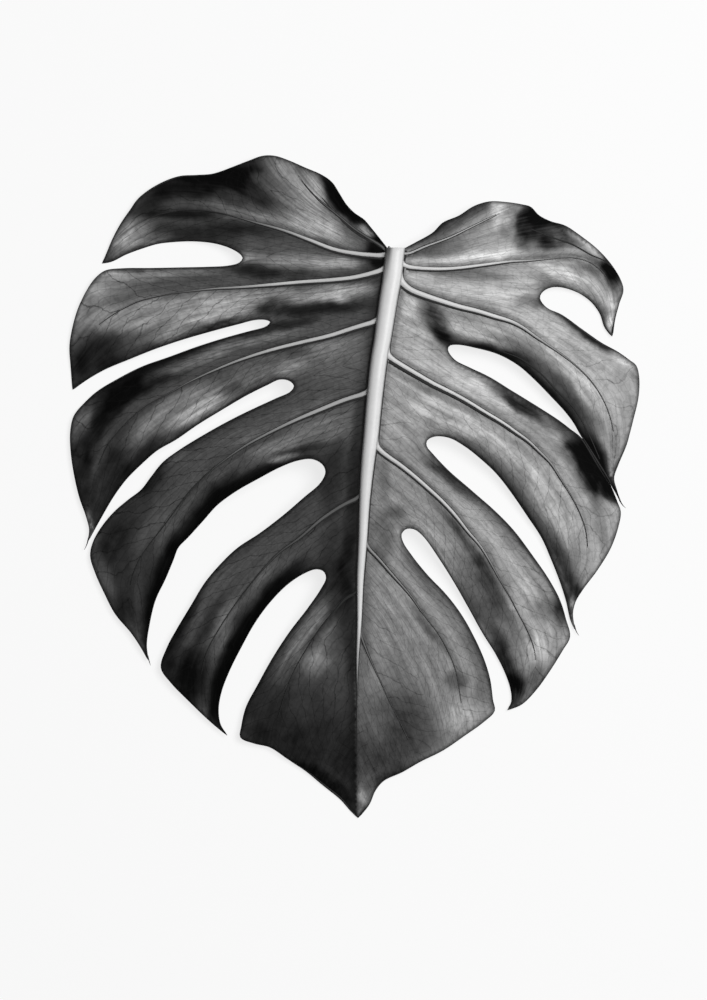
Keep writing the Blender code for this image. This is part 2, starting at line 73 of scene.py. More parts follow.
# %% Midrib tables
MIDRIB_LINE = [
    (396, 249), (394.5, 262), (392.5, 280), (389, 300), (386, 320), (383, 340), (379.5, 360),
    (374.8, 400), (371, 440), (368.5, 460), (365, 500), (363, 540), (360.5, 580), (359.5, 620),
    (357.5, 660), (357, 700), (357, 750), (357.5, 790), (358, 818),
]
MIDRIB_HALF_WIDTH = [
    (249, 9.0), (275, 9.0), (340, 8.0), (440, 7.0), (500, 5.0), (560, 3.7), (620, 2.2), (665, 1.1),
    (700, 0.0),
]
MIDRIB_RISE = [
    (249, 13), (300, 15), (380, 17), (470, 17), (560, 15), (650, 10.5), (740, 5), (800, 0.8),
    (818, -1.5),
]
print("midrib points:", len(MIDRIB_LINE))

# %% [markdown]
# ## The leaf's outline
# One list for each side, from the stalk to the leaf's tip. A named point ends a stretch: corner_N and
# tip_N are the two ends of lobe N's outer edge, vein_N is where its vein points, and end_N is the
# blind inner end of the slot between lobes N and N + 1. A lobe's own tip is sharp. Where no slot parts
# two lobes, one point on the edge has all three names.

# %% Outline tables
LEFT_EDGE = [
    (387, 249, "start"), (378, 237.5), (369.5, 227), (364, 220.5), (354, 213.5), (346, 205),
    (338.5, 193), (332, 183), (322, 175.5, "corner_0"), (305, 168), (288, 160.5, "vein_0"),
    (275, 156.2), (263, 156), (247, 161.5, "tip_0 end_0 corner_1"), (230, 168), (213, 174),
    (196, 175.5), (180, 176.5), (165, 181.5), (150, 189.5), (138, 199), (130, 210), (120, 224),
    (112, 239), (105, 255.5, "vein_1"), (101.5, 262.5, "tip_1"),
    (111, 260.5), (125, 253.5), (141, 247.5), (158, 242.5), (178, 240.5), (197, 240.5),
    (216, 243), (231, 248), (240, 253.5), (243.2, 258, "end_1"), (239.5, 263), (228, 266),
    (208, 267), (180, 267.5), (150, 268), (122, 268.3), (105, 270.5, "corner_2"), (95, 278),
    (86, 291), (78, 308), (72.5, 327), (69.5, 346), (70.5, 366, "vein_2"), (72, 389, "tip_2"),
    (85, 379.5), (104, 368.5), (128, 358.5), (155, 348), (183, 338.5), (212, 330.4),
    (238, 323.8), (257, 319.6), (267, 320), (270.7, 322, "end_2"), (267, 326.5), (250, 331.5),
    (225, 338.5), (198, 347), (170, 357), (143, 366.5), (118, 379), (97, 391.5), (83, 404),
    (73.5, 416, "corner_3"), (70, 432), (70.5, 452), (73.5, 473), (79, 497),
    (86, 517, "vein_3"), (89, 530), (87.5, 541, "tip_3"),
    (93, 531), (102, 515), (113, 496.5), (126, 479), (141, 464), (157, 450), (176, 439),
    (197, 424.5), (220, 410.5), (245, 396), (267, 385), (280, 379.3), (290, 381),
    (294.5, 386, "end_3"), (291, 392), (276, 399), (253, 409.5), (228, 422), (203, 436),
    (180, 450), (163, 462.5), (151, 477), (141, 490), (128, 500), (113, 513), (100, 529),
    (92.5, 543), (90, 556, "corner_4"), (95, 573), (104, 593), (115, 614), (131, 633),
    (141, 648, "vein_4"), (147.5, 660, "tip_4"),
    (146, 645), (149, 624), (155, 600), (165, 579), (173, 560), (178, 547.5), (188, 537),
    (203, 520.5), (217, 505), (236, 491), (259, 478), (281, 466.5), (299, 460), (313, 459),
    (323, 464.5), (326, 472, "end_4"), (321, 483), (304, 498), (283, 516), (260, 533.5),
    (238, 548), (222, 563), (205, 583), (191, 606), (176, 631), (167, 648),
    (161, 668, "corner_5"), (171, 683), (188, 700.5), (205, 717, "vein_5"), (215, 726),
    (226.5, 735.5, "tip_5"),
    (220, 725), (218, 710), (221, 692), (229, 671), (241, 647), (255, 622), (271, 600.5),
    (288, 583.5), (304, 573), (316, 568.7), (324, 571), (326.5, 578, "end_5"), (321, 589.5),
    (308, 608.5), (290, 632), (273, 658), (258, 685), (246, 708), (241.5, 727),
    (240.5, 737.5, "corner_6"), (254, 743.5), (270, 747.5, "vein_6"), (288, 759.5), (306, 771),
    (322, 784), (341, 799.5), (351, 811), (358, 818, "tip_6"),
]
RIGHT_EDGE = [
    (405, 249, "start"), (415, 243.5), (433, 233), (443, 223), (459, 216), (474, 206.5),
    (489, 202, "corner_0"), (506, 202.5), (523, 205, "vein_0"), (530.5, 207), (539, 215.5),
    (551, 221.5), (565, 225.5, "tip_0 end_0 corner_1"), (581, 236), (598, 249.5), (612, 265),
    (621, 280), (623.5, 290), (619, 304), (615, 318, "vein_1"), (612.5, 335, "tip_1"),
    (606, 326), (601.5, 313), (592, 300.5), (578, 291.5), (560, 286.3), (549, 287.5),
    (541.5, 292.5), (539.5, 298.5, "end_1"), (546, 307.5), (562, 315.5), (582, 330),
    (601, 343), (618, 352), (630, 360), (636.5, 365, "corner_2"), (639.5, 376), (639, 396),
    (634, 418), (627, 443), (618, 464), (613.5, 478), (617, 491, "vein_2"),
    (621.5, 503, "tip_2"),
    (616, 492), (608.5, 478.5), (597.5, 461), (583, 437), (568.5, 414.5), (551, 395),
    (533, 377), (516, 363), (497.4, 353.2), (476, 347.3), (457.5, 344.2), (449, 345.5),
    (447, 350, "end_2"), (454, 360.5), (469, 368.5), (489, 378), (509, 390), (534, 405.5),
    (558, 420.5), (573, 431.5), (581.5, 439), (589, 450), (596, 462), (607, 479.5), (614, 493),
    (618, 503, "corner_3"), (621, 512), (618.5, 527), (611, 548), (597, 571), (583, 589.5),
    (575.5, 602), (573, 614, "vein_3"), (575, 629, "tip_3"),
    (571, 619), (567.5, 602), (561, 581), (552, 558.5), (542, 536.5), (528.5, 516),
    (513, 493.5), (498.5, 475), (483, 460), (466, 446.5), (449, 437.5), (434, 436.3),
    (426.5, 440.5, "end_3"), (426, 446), (433, 455.5), (450, 473.5), (470, 490.5),
    (492, 509.5), (513, 531), (532, 556), (548, 579.5), (559.5, 600.5), (566, 620),
    (570, 637, "corner_4"), (563, 650), (550, 671), (536, 690.5), (522, 704.5, "vein_4"),
    (508, 710.5, "tip_4"),
    (512, 703), (511.5, 690), (506, 673), (496, 653), (483, 632.5), (468.8, 606.5), (453.4, 579.6),
    (437, 554.4), (423, 535.5), (414.5, 529), (406, 528.5), (401, 534, "end_4"), (402.5, 542),
    (412, 556.5), (427, 575.5), (444.2, 593.6), (459, 612.5), (471.8, 634), (483, 658.6),
    (489.6, 680), (492.5, 700), (494.5, 711, "corner_5"), (483, 722.5), (465, 735.5, "vein_5"),
    (443, 750.5, "tip_5 end_5 corner_6"), (420, 762, "vein_6"), (402, 772.5), (384, 781),
    (375, 791), (369, 804.5), (363, 812), (358, 818, "tip_6"),
]
print("outline points:", len(LEFT_EDGE), "left,", len(RIGHT_EDGE), "right")

# %% [markdown]
# ## The side veins' lines
# Each lobe has one side vein, which curves towards the leaf's tip as it nears the edge. A row says
# where the vein leaves the midrib, how it runs outwards, and its half width at the root, in squares.

# %% Side vein tables
LEFT_VEINS = [
    (251, [(378, 244.5), (366, 237), (354, 229), (342, 219), (331, 210), (320, 201), (305, 185)], 1.1),
    (256.5, [(360, 254.5), (335, 250), (310, 240.5), (285, 231), (255, 222.5), (225, 214),
             (195, 209.5), (170, 211.5), (150, 217), (134, 226), (117, 241)], 2.6),
    (270, [(365, 275.5), (350, 278.5), (330, 280.5), (300, 282.5), (270, 285), (240, 287.2),
           (215, 288.5), (195, 290.5), (175, 293), (155, 297), (138, 301.5), (122, 309),
           (108, 317.5), (97, 326), (86, 340), (76, 356)], 2.6),
    (321.5, [(355, 328), (330, 336), (300, 343), (270, 350.5), (240, 360), (215, 370),
             (190, 381.5), (165, 395.5), (146, 406), (130, 419), (117, 433), (106, 448),
             (98.5, 465), (94, 483), (90, 502)], 2.6),
    (393, [(345, 400), (320, 410), (295, 420.5), (270, 432.5), (245, 446), (222, 462),
           (205, 476), (190, 491), (177, 508), (163, 527), (149, 545), (138, 562), (131.5, 580),
           (129, 600), (133, 628)], 2.5),
    (497, [(343, 505), (321, 519.5), (300, 537.5), (280, 552), (264, 568), (246, 590),
           (232, 609), (219, 629), (208, 649), (202, 670), (201, 692)], 1.9),
    (592, [(345, 599), (334.5, 611), (321, 627), (307, 648), (294, 671), (284, 697),
           (276, 725)], 1.0),
]
RIGHT_VEINS = [
    (256, [(413, 252.3), (425, 247), (450, 237.6), (473, 226.3), (494, 216), (510, 209)], 1.2),
    (266.5, [(413, 268), (425, 269), (442, 269.3), (459, 268.2), (476.5, 266), (494, 263.6),
             (511, 261.5), (528.5, 260.6), (546, 258.9), (563, 257.5), (577, 258), (590, 262),
             (602, 271), (611, 285), (614, 302)], 2.2),
    (283, [(411, 290.4), (425, 296), (442, 301.6), (459, 306.8), (476.5, 311), (494, 316.3),
           (511, 321.5), (523, 327.6), (534, 335.4), (546, 343.5), (560, 353), (573, 363),
           (588, 377), (600, 393), (609, 412), (614, 432), (614, 452), (610.8, 471),
           (613.5, 483)], 3.2),
    (357, [(400, 364.6), (416, 374), (433, 383.7), (450.5, 392.3), (468, 401.8), (485, 412.2),
           (502.5, 422.6), (516, 432), (528.5, 441), (539, 451), (551, 463.3), (561, 479),
           (572, 497), (580.5, 514), (586, 530), (588, 549), (585, 569), (579, 589)], 2.8),
    (448, [(388.5, 457), (399, 464.2), (414, 476), (428.5, 488.6), (442, 501), (455, 515),
           (468, 531.5), (480, 545.5), (490, 561.7), (500, 580), (510, 597), (518.5, 613.5),
           (526.5, 628.5), (533, 644), (536, 660), (533, 680)], 2.5),
    (546, [(380, 560), (390, 571.7), (401.7, 585), (412, 597.5), (421.7, 611.7), (430, 622.5),
           (438.5, 634), (447, 649), (455, 668), (461, 700)], 1.3),
    (635, [(366.5, 650), (372, 663), (380, 680), (389, 700), (398, 718), (409, 741)], 0.9),
]
VEIN_END_WIDTH = 0.30
print("side veins:", len(LEFT_VEINS), "left,", len(RIGHT_VEINS), "right")

# %% [markdown]
# ## How the lobes rise and curl
# The leaf lies on a table, so the lobes' ends are on it or just above it, and the blade stands highest
# along the midrib. Shading is all that shows the heights between, so each lobe gets a few numbers and
# the blade finds the rest.

# %% Lobe tables
# The form, in millimetres above the table: each lobe's corner, vein end and tip, then the blind
# end of the slot beyond it. A touch less than nothing presses the blade flat on the table.
LEFT_RISE = [
    (8, 7, 5.5, 5.5), (5.5, 1, -1.2, 8), (3, 0.5, -1.5, 10.5), (2, 2, 2, 12.5), (2, 3, 2, 14.5),
    (4, 3, 2, 12), (4, 3, -1.5, 0),
]
RIGHT_RISE = [
    (8, 7, 4.5, 4.5), (4.5, 2, 1, 7.5), (-1.5, 4, 4, 11.5), (1.5, 1.5, 1, 13.5), (3, 2, 1, 13),
    (4, 3, 3, 3), (3, 3, -1.5, 0),
]
# How far the two free edges of each lobe curl, in millimetres: the edge nearer the stalk, then the
# one nearer the tip. Above nothing the edge curls up towards the viewer, below it down.
LEFT_LIPS = [(2.5, 0), (0, -1.5), (-1, 2.5), (-2.5, 3), (-2, 3.5), (-2, 3.5), (-2, 0)]
RIGHT_LIPS = [(-1.5, 0), (0, -1.5), (1, -1), (1.5, -2.5), (2, -2.5), (2, -1), (0, 0)]
# How much painted shade darkens the blade towards the same two edges, where they turn away from the
# light, from 0 to 1.
LEFT_SHADES = [(0.6, 0), (0.3, 0.35), (0, 0.1), (0.6, 0.3), (0.25, 0.9), (0.2, 0.95), (0.2, 0)]
RIGHT_SHADES = [(0.3, 0), (0.3, 0.15), (0.15, 0.85), (0.3, 0.6), (0.4, 0.15), (0.35, 0), (0, 0)]
print("highest slot end:", max(row[3] for row in LEFT_RISE + RIGHT_RISE), "mm")

# %% [markdown]
# ## Curves through few points
# A leaf's edge has no corners but its tips, so the points are joined by a Catmull-Rom curve, which
# runs through every point and needs no handles. The centripetal kind is used, because it doesn't
# swing out where two points are close together. A `Path` can then be read at any share of its length.

# %% Curve helpers
CURVE_STEPS = 12


def mix(a, b, share):
    return a + (b - a) * share


def read_table(table, key):
    """The value at a key, by straight lines between the rows of a two-column table."""
    if key <= table[0][0]:
        return table[0][1]
    for (k0, v0), (k1, v1) in zip(table, table[1:]):
        if key <= k1:
            return mix(v0, v1, (key - k0) / (k1 - k0))
    return table[-1][1]


def smooth_curve(knots, steps=CURVE_STEPS):
    """A centripetal Catmull-Rom curve through the knots, with that many points for each stretch."""
    knots = [Vector(k[:2]) for k in knots]
    ends = [2 * knots[0] - knots[1], *knots, 2 * knots[-1] - knots[-2]]
    points = [knots[0]]
    for p0, p1, p2, p3 in zip(ends, ends[1:], ends[2:], ends[3:]):
        t0 = 0.0
        t1 = t0 + math.sqrt((p1 - p0).length)
        t2 = t1 + math.sqrt((p2 - p1).length)
        t3 = t2 + math.sqrt((p3 - p2).length)
        for i in range(1, steps + 1):
            t = mix(t1, t2, i / steps)
            a1 = p0.lerp(p1, (t - t0) / (t1 - t0))
            a2 = p1.lerp(p2, (t - t1) / (t2 - t1))
            a3 = p2.lerp(p3, (t - t2) / (t3 - t2))
            b1 = a1.lerp(a2, (t - t0) / (t2 - t0))
            b2 = a2.lerp(a3, (t - t1) / (t3 - t1))
            points.append(b1.lerp(b2, (t - t1) / (t2 - t1)))
    return points


class Path:
    """A line of points, read at any share of its length."""

    def __init__(self, points):
        self.points = points
        self.run = [0.0]
        for a, b in zip(points, points[1:]):
            self.run.append(self.run[-1] + (b - a).length)
        self.length = self.run[-1]

    def at(self, share):
        distance = min(max(share, 0.0), 1.0) * self.length
        i = min(max(bisect_left(self.run, distance), 1), len(self.run) - 1)
        step = self.run[i] - self.run[i - 1]
        return self.points[i - 1].lerp(self.points[i], (distance - self.run[i - 1]) / step)
MIDRIB = smooth_curve(MIDRIB_LINE)
MIDRIB_HEIGHTS = [p.y for p in MIDRIB]


def midrib_at(y, side):
    """The midrib at that height of the sheet: side -1 is its left foot, 0 its crest, 1 its right."""
    y = min(max(y, SHEET_NECK), SHEET_TIP)
    i = min(max(bisect_left(MIDRIB_HEIGHTS, y), 1), len(MIDRIB) - 1)
    a, b = MIDRIB[i - 1], MIDRIB[i]
    x = mix(a.x, b.x, (y - a.y) / (b.y - a.y))
    return Vector((x + side * read_table(MIDRIB_HALF_WIDTH, y), y))


print(f"the midrib's line is {Path(MIDRIB).length * SQUARE / MM:.0f} mm long")

# %% [markdown]
# ## The edge of the blade
# Each point of the edge gets more numbers beside its place: its rise above the table, its lip, which is
# how far the edge curls there, its shade, which is how much painted shade the blade gets near it, and
# its growth number. Growth numbers count the lobes: 3 lies along the vein of lobe 3, and 3.5 runs into
# the blind end of the slot below it. Later they make the fine veins run the way they grow.

# %% Edge points
EDGE_STEP = 3.0
# An edge that curls also sags between its ends, in millimetres.
EDGE_SAG = 1.5
LIP_FULLNESS, SHADE_FULLNESS = 0.7, 0.5
LOBE_SPREAD = 0.3
# A grip as high as this holds a number where it is.
FIRM = 1000.0
# How far each lobe reaches from the midrib, in hundreds of squares.
REACH = [1.2, 2.9, 3.3, 3.3, 3.4, 2.7, 1.7]


class Spot:
    """One point of the blade, seen from above. A grip of 0 leaves the number beside it free."""

    def __init__(self, place, rise=0.0, rise_grip=0.0, growth=0.0, growth_grip=0.0):
        self.place, self.rise, self.rise_grip = place, rise, rise_grip
        self.growth, self.growth_grip = growth, growth_grip
        self.reach, self.reach_grip = 0.0, 0.0
        self.lip, self.shade = 0.0, 0.0


def is_tip(name):
    """A lobe's own tip is sharp. A place with more names than that lies on a smooth edge."""
    return name.startswith("tip_") and " " not in name


def lobe_marks(rises):
    """The rise and the growth number of every named point of one side."""
    level, growth = {"start": read_table(MIDRIB_RISE, SHEET_NECK)}, {"start": -LOBE_SPREAD}
    for n, row in enumerate(rises):
        numbers = (n - LOBE_SPREAD, n, n + LOBE_SPREAD, n + 0.5)
        for part, rise, number in zip(("corner", "vein", "tip", "end"), row, numbers):
            level[f"{part}_{n}"], growth[f"{part}_{n}"] = rise, number
    growth[f"tip_{len(rises) - 1}"] = len(rises)
    return level, growth


def edge_curve(table):
    """The edge as one run of places, smooth but for the sharp tips."""
    sharp = [0] + [i for i, k in enumerate(table) if len(k) > 2 and is_tip(k[2])]
    places = []
    for first, last in zip(sharp, sharp[1:]):
        curve = smooth_curve(table[first:last + 1])
        places += curve[1:] if places else curve
    return places


def free_edge(name, next_name, pairs):
    """The value that a lobe's pair gives to the stretch between two names, or 0 on its outer edge."""
    if is_tip(name):
        return pairs[int(name[-1])][1]
    if name == "start" or name.startswith("end_"):
        return pairs[int(next_name[-1])][0]
    return 0.0


def edge_line(table, rises, lips, shades):
    """One side of the leaf's edge as spots, from the stalk to the leaf's tip."""
    level, growth = lobe_marks(rises)
    named = [(i * CURVE_STEPS, k[2]) for i, k in enumerate(table) if len(k) > 2]
    for _, name in named:
        if " " in name:
            growth[name.split()[0]] = growth[name.split()[1]]
    places = edge_curve(table)
    found = [Spot(places[0], level["start"], FIRM, growth["start"], FIRM)]
    for (first, name), (last, next_name) in zip(named, named[1:]):
        stretch = Path(places[first:last + 1])
        lip, shade = free_edge(name, next_name, lips), free_edge(name, next_name, shades)
        here, there = name.split()[0], next_name.split()[0]
        steps = max(round(stretch.length / EDGE_STEP), 1)
        for i in range(1, steps + 1):
            share = i / steps
            wave = math.sin(math.pi * share)
            sag = EDGE_SAG * wave if lip else 0.0
            number = mix(growth[here], growth[there], share)
            rise = mix(level[here], level[there], share) - sag
            spot = Spot(stretch.at(share), rise, FIRM, number, FIRM)
            spot.lip, spot.shade = lip * wave ** LIP_FULLNESS, shade * wave ** SHADE_FULLNESS
            if not lip and name != "start":
                spot.reach, spot.reach_grip = REACH[min(int(number + 0.5), len(REACH) - 1)], FIRM
            found.append(spot)
    return found


edge = edge_line(LEFT_EDGE, LEFT_RISE, LEFT_LIPS, LEFT_SHADES)
edge += edge_line(RIGHT_EDGE, RIGHT_RISE, RIGHT_LIPS, RIGHT_SHADES)[-2::-1]
edge_length = Path([spot.place for spot in edge]).length * SQUARE
print(f"{len(edge)} points on an edge {edge_length:.2f} m long")

# %% [markdown]
# ## Lines that stiffen the blade
# The midrib and the side veins hold the thin blade up, so their rises are set, the midrib's firmly and
# the veins' softly. The blade between them finds its own rise later on.

# %% Veins and midrib as lines of spots
LINE_STEP = 3.6
VEIN_CROWN, VEIN_TAPER = 2.0, 0.8
# A vein ends where it comes this close to the edge, except on its first stretch.
VEIN_CLEAR, VEIN_FIRST = 4.0, 30.0
# A vein's pull on the rise, which weakens where less than this much room is left beside the edge.
VEIN_GRIP, VEIN_ROOM = 0.0115, 40.0
# So far above the stalk's end the growth number would be half a lobe less than 0.
HALF_LOBE_ABOVE = 8.0


def tree_of(places):
    tree = KDTree(len(places))
    for i, p in enumerate(places):
        tree.insert((p.x, p.y, 0.0), i)
    tree.balance()
    return tree


edge_tree = tree_of([spot.place for spot in edge])


def growth_at_midrib(veins, y):
    """The growth number where the midrib has that height, read between the veins' roots."""
    roots = [(SHEET_NECK - HALF_LOBE_ABOVE, -0.5)] + [(vein[0], n) for n, vein in enumerate(veins)]
    return read_table(roots + [(SHEET_TIP, len(veins))], y)


def vein_half_width(width, share):
    """A vein's half width at a share of its length."""
    return mix(width, VEIN_END_WIDTH, share ** VEIN_TAPER)


def vein_spots(veins, table, rises, side):
    """For each side vein of one side: its spots and its half widths, from the midrib outwards."""
    ends = [k[:2] for k in table if len(k) > 2 and k[2].startswith("vein_")]
    lines = []
    for n, ((root_y, line, width), row, end) in enumerate(zip(veins, rises, ends)):
        path = Path(smooth_curve([midrib_at(root_y, side), *line, end]))
        root_rise = read_table(MIDRIB_RISE, root_y)
        steps = round(path.length / LINE_STEP)
        spots, widths = [], []
        for i in range(steps):
            share = i / steps
            place = path.at(share)
            half_width = vein_half_width(width, share)
            room = edge_tree.find((place.x, place.y, 0.0))[2]
            if i * LINE_STEP > VEIN_FIRST and room < VEIN_CLEAR + half_width:
                break
            rise = mix(root_rise, row[1], share) + VEIN_CROWN * math.sin(math.pi * share)
            grip = VEIN_GRIP * LINE_STEP * width * min(room / VEIN_ROOM, 1.0) ** 2
            spots.append(Spot(place, rise, grip, float(n), FIRM))
            widths.append(half_width)
        lines.append((spots, widths))
    return lines


left_veins = vein_spots(LEFT_VEINS, LEFT_EDGE, LEFT_RISE, -1)
right_veins = vein_spots(RIGHT_VEINS, RIGHT_EDGE, RIGHT_RISE, 1)
print("spots on side veins:", sum(len(spots) for spots, _ in left_veins + right_veins))


def midrib_spot(y, side, number):
    """A firm spot on the midrib. Its reach is 0, because every vein starts there."""
    spot = Spot(midrib_at(y, side), read_table(MIDRIB_RISE, y), FIRM, number, FIRM)
    spot.reach_grip = FIRM
    return spot


def midrib_line(side, veins):
    steps = round((RIB_END - SHEET_NECK) / LINE_STEP)
    heights = [mix(SHEET_NECK, RIB_END, i / steps) for i in range(1, steps)]
    return [midrib_spot(y, side, growth_at_midrib(veins, y)) for y in heights]


def crease_line():
    """Below the midrib's end a plain crease runs on to the leaf's tip."""
    steps = round((SHEET_TIP - RIB_END) / LINE_STEP)
    found = []
    for i in range(steps):
        y = mix(RIB_END, SHEET_TIP, i / steps)
        both = growth_at_midrib(LEFT_VEINS, y) + growth_at_midrib(RIGHT_VEINS, y)
        found.append(midrib_spot(y, 0, both / 2))
    return found


# %% [markdown]
# ## The blade as a net of triangles
# A slotted outline can't be covered by one regular grid. So loose points are strewn over it in rows of
# even triangles, and a Delaunay triangulation joins them all. It is the constrained kind, which keeps
# the edge and the rib lines whole.

# %% Strewing and joining
BLADE_STEP = 3.0
# A loose point keeps this share of a step clear of every set point.
LOOSE_ROOM = 0.6
SAME_POINT = 0.02
def blade_net():
    spots, lines = list(edge), []

    def add(line, first=None, last=None):
        members = [] if first is None else [first]
        for spot in line:
            spots.append(spot)
            members.append(len(spots) - 1)
        if last is not None:
            members.append(last)
        lines.extend(zip(members, members[1:]))
        return members

    crease = add(crease_line())
    add(midrib_line(-1, LEFT_VEINS), 0, crease[0])
    add(midrib_line(1, RIGHT_VEINS), len(edge) - 1, crease[0])
    for line, _ in left_veins + right_veins:
        add(line[1:])
    taken = tree_of([spot.place for spot in spots])
    low = [min(spot.place[k] for spot in edge) for k in (0, 1)]
    high = [max(spot.place[k] for spot in edge) for k in (0, 1)]
    row_step = BLADE_STEP * math.sqrt(0.75)
    for row in range(int((high[1] - low[1]) / row_step) + 1):
        for column in range(int((high[0] - low[0]) / BLADE_STEP) + 1):
            x = low[0] + (column + 0.5 * (row % 2)) * BLADE_STEP
            y = low[1] + row * row_step
            if taken.find((x, y, 0.0))[2] > BLADE_STEP * LOOSE_ROOM:
                spots.append(Spot(Vector((x, y))))
    loop = list(range(len(edge)))
    rim = list(zip(loop, loop[1:] + loop[:1]))
    places = [spot.place for spot in spots]
    joined = delaunay_2d_cdt(places, rim + lines, [loop[::-1]], 1, SAME_POINT)
    new_places, _, faces, old_points, _, old_faces = joined
    faces = [face for face, old in zip(faces, old_faces) if old]
    kept = sorted({v for face in faces for v in face})
    renumber = {v: i for i, v in enumerate(kept)}
    net = []
    for v in kept:
        net.append(spots[old_points[v][0]] if old_points[v] else Spot(Vector(new_places[v])))
    return net, numpy.array([[renumber[v] for v in face] for face in faces])


net, triangles = blade_net()
print(f"the blade's net has {len(net)} points and {len(triangles)} triangles")

# %% [markdown]
# ## Letting the blade settle
# A soap film between wires finds the smoothest surface they allow, and a leaf's blade between its veins
# comes close to that. Each free point is pulled by its neighbours, with cotangent weights, so that the
# shape of the triangles doesn't matter. The balance of all pulls is one large set of equations, and
# the conjugate gradient method solves it in a few hundred turns. The same solver spreads the growth
# numbers.

# %% The solver
PUFF = 0.0012
COTANGENT_RANGE = (0.02, 100.0)
AT_REST = 1e-8
places = numpy.array([spot.place[:] for spot in net])


def net_weights():
    """The weight of every side of the net, once in each direction, and each point's own area."""
    starts, ends, weights, area = [], [], [], numpy.zeros(len(places))
    for k in range(3):
        a, b, c = triangles[:, k], triangles[:, (k + 1) % 3], triangles[:, (k + 2) % 3]
        u, v = places[a] - places[c], places[b] - places[c]
        cross = numpy.abs(u[:, 0] * v[:, 1] - u[:, 1] * v[:, 0])
        cotangent = numpy.clip((u * v).sum(axis=1) / cross, *COTANGENT_RANGE) / 2
        starts += [a, b]
        ends += [b, a]
        weights += [cotangent, cotangent]
        area += numpy.bincount(a, cross / 6, len(places))
    return numpy.concatenate(starts), numpy.concatenate(ends), numpy.concatenate(weights), area


starts, ends, weights, area = net_weights()


def settle(name, load=0.0):
    """One number of the spots over the whole net, each held as firmly as its grip says."""
    wanted = numpy.array([getattr(spot, name) for spot in net])
    grips = numpy.array([getattr(spot, name + "_grip") for spot in net])
    total = numpy.bincount(starts, weights, len(places)) + grips

    def pull(field):
        return total * field - numpy.bincount(starts, weights * field[ends], len(places))

    value = wanted.copy()
    residual = grips * wanted + load * area - pull(value)
    guess = residual / total
    energy = residual @ guess
    step = guess.copy()
    turns = 0
    while energy > AT_REST:
        pulled = pull(step)
        size = energy / (step @ pulled)
        value += size * step
        residual -= size * pulled
        guess = residual / total
        fresh = residual @ guess
        step = guess + (fresh / energy) * step
        energy = fresh
        turns += 1
    print(name, "settled in", turns, "turns")
    return value


rise = settle("rise", PUFF)
across = settle("growth")
along = settle("reach")

# %% [markdown]
# ## Lips, creases and hollows
# Now the blade gets what the film can't give: edges that curl up or down, and the close relief of a
# living leaf. `nearness` fades from 1 at a line to 0 at a reach, and drives both shape and colour.

# %% Relief of the blade
LIP_WIDTH = 17.0
QUILT_HEIGHT, QUILT_SIZE, QUILT_SLICE = 0.55, 26.0, 3.0
RIPPLE_HEIGHT, RIPPLES = 0.16, 6
GROOVE_DEPTH, GROOVE_WIDTH = 0.55, 3.0
# The relief dies out this close to the edge and the ribs, and the grooves this close to the edge.
CALM_WIDTH, GROOVE_CLEAR = 25.0, 6.0
# The painted shadow beside a vein fades along it. Above 1, it is gone before the vein's end.
RIB_SHADE_FADE = 1.3


def nearness(distance, reach):
    return numpy.clip(1.0 - distance / reach, 0.0, 1.0)


def farness(distance, reach):
    return numpy.clip(distance / reach, 0.0, 1.0)


def close_set(line, values):
    """A line's places filled in to less than a square apart, each with its value."""
    found = []
    for (near, far), (low, high) in zip(zip(line, line[1:]), zip(values, values[1:])):
        parts = math.ceil((far.place - near.place).length)
        for i in range(parts):
            share = i / parts
            found.append((near.place.lerp(far.place, share), mix(low, high, share)))
    return found


def nearest_of(samples):
    """For every point of the net: how far the nearest sample is, its place and its value."""
    tree = tree_of([place for place, _ in samples])
    found = [tree.find((x, y, 0.0)) for x, y in places]
    distance = numpy.array([hit[2] for hit in found])
    return distance, *[numpy.array([samples[hit[1]][k][:] for hit in found]) for k in (0, 1)]


def beside(line, i, down=True):
    """The direction square to a line of spots, towards the leaf's tip or towards the stalk."""
    step = line[min(i + 1, len(line) - 1)].place - line[max(i - 1, 0)].place
    square_to = Vector((-step.y, step.x)).normalized()
    return square_to if (square_to.y > 0) == down else -square_to


def rib_samples():
    """All ribs, close set. The value is a half width, the direction beside it, and its painted shadow.
    """
    found = []
    for line, widths in left_veins + right_veins:
        values = []
        for i, width in enumerate(widths):
            shade = max(1.0 - RIB_SHADE_FADE * i / len(line), 0.0)
            values.append(Vector((width, *beside(line, i), shade)))
        found += close_set(line, values)
    for side, veins in ((-1, LEFT_VEINS), (1, RIGHT_VEINS)):
        foot = midrib_line(side, veins)
        found += close_set(foot, [Vector((0.0, 0.0, 0.0, 0.0))] * len(foot))
    return found


distance, rib_place, rib_value = nearest_of(rib_samples())
to_rib = numpy.maximum(distance - rib_value[:, 0], 0.0)
rib_shade = rib_value[:, 3]
below_rib = ((places - rib_place) * rib_value[:, 1:3]).sum(axis=1) > 0
ring = edge + edge[:1]
to_edge, _, edge_value = nearest_of(close_set(ring, [Vector((spot.lip, spot.shade)) for spot in ring]))
edge_lip, edge_shade = edge_value[:, 0], edge_value[:, 1]

calm = farness(to_edge, CALM_WIDTH) * farness(to_rib, CALM_WIDTH)
quilt = [noise(Vector((x / QUILT_SIZE, y / QUILT_SIZE, QUILT_SLICE))) for x, y in places]
rise += edge_lip * nearness(to_edge, LIP_WIDTH) ** 2
rise += QUILT_HEIGHT * numpy.array(quilt) * calm
rise += RIPPLE_HEIGHT * numpy.sin(2 * math.pi * RIPPLES * across) * calm
rise -= GROOVE_DEPTH * nearness(to_rib, GROOVE_WIDTH) * farness(to_edge, GROOVE_CLEAR)
rise = numpy.maximum(rise, 0.0)
print(f"the blade rises to {rise.max():.1f} mm")
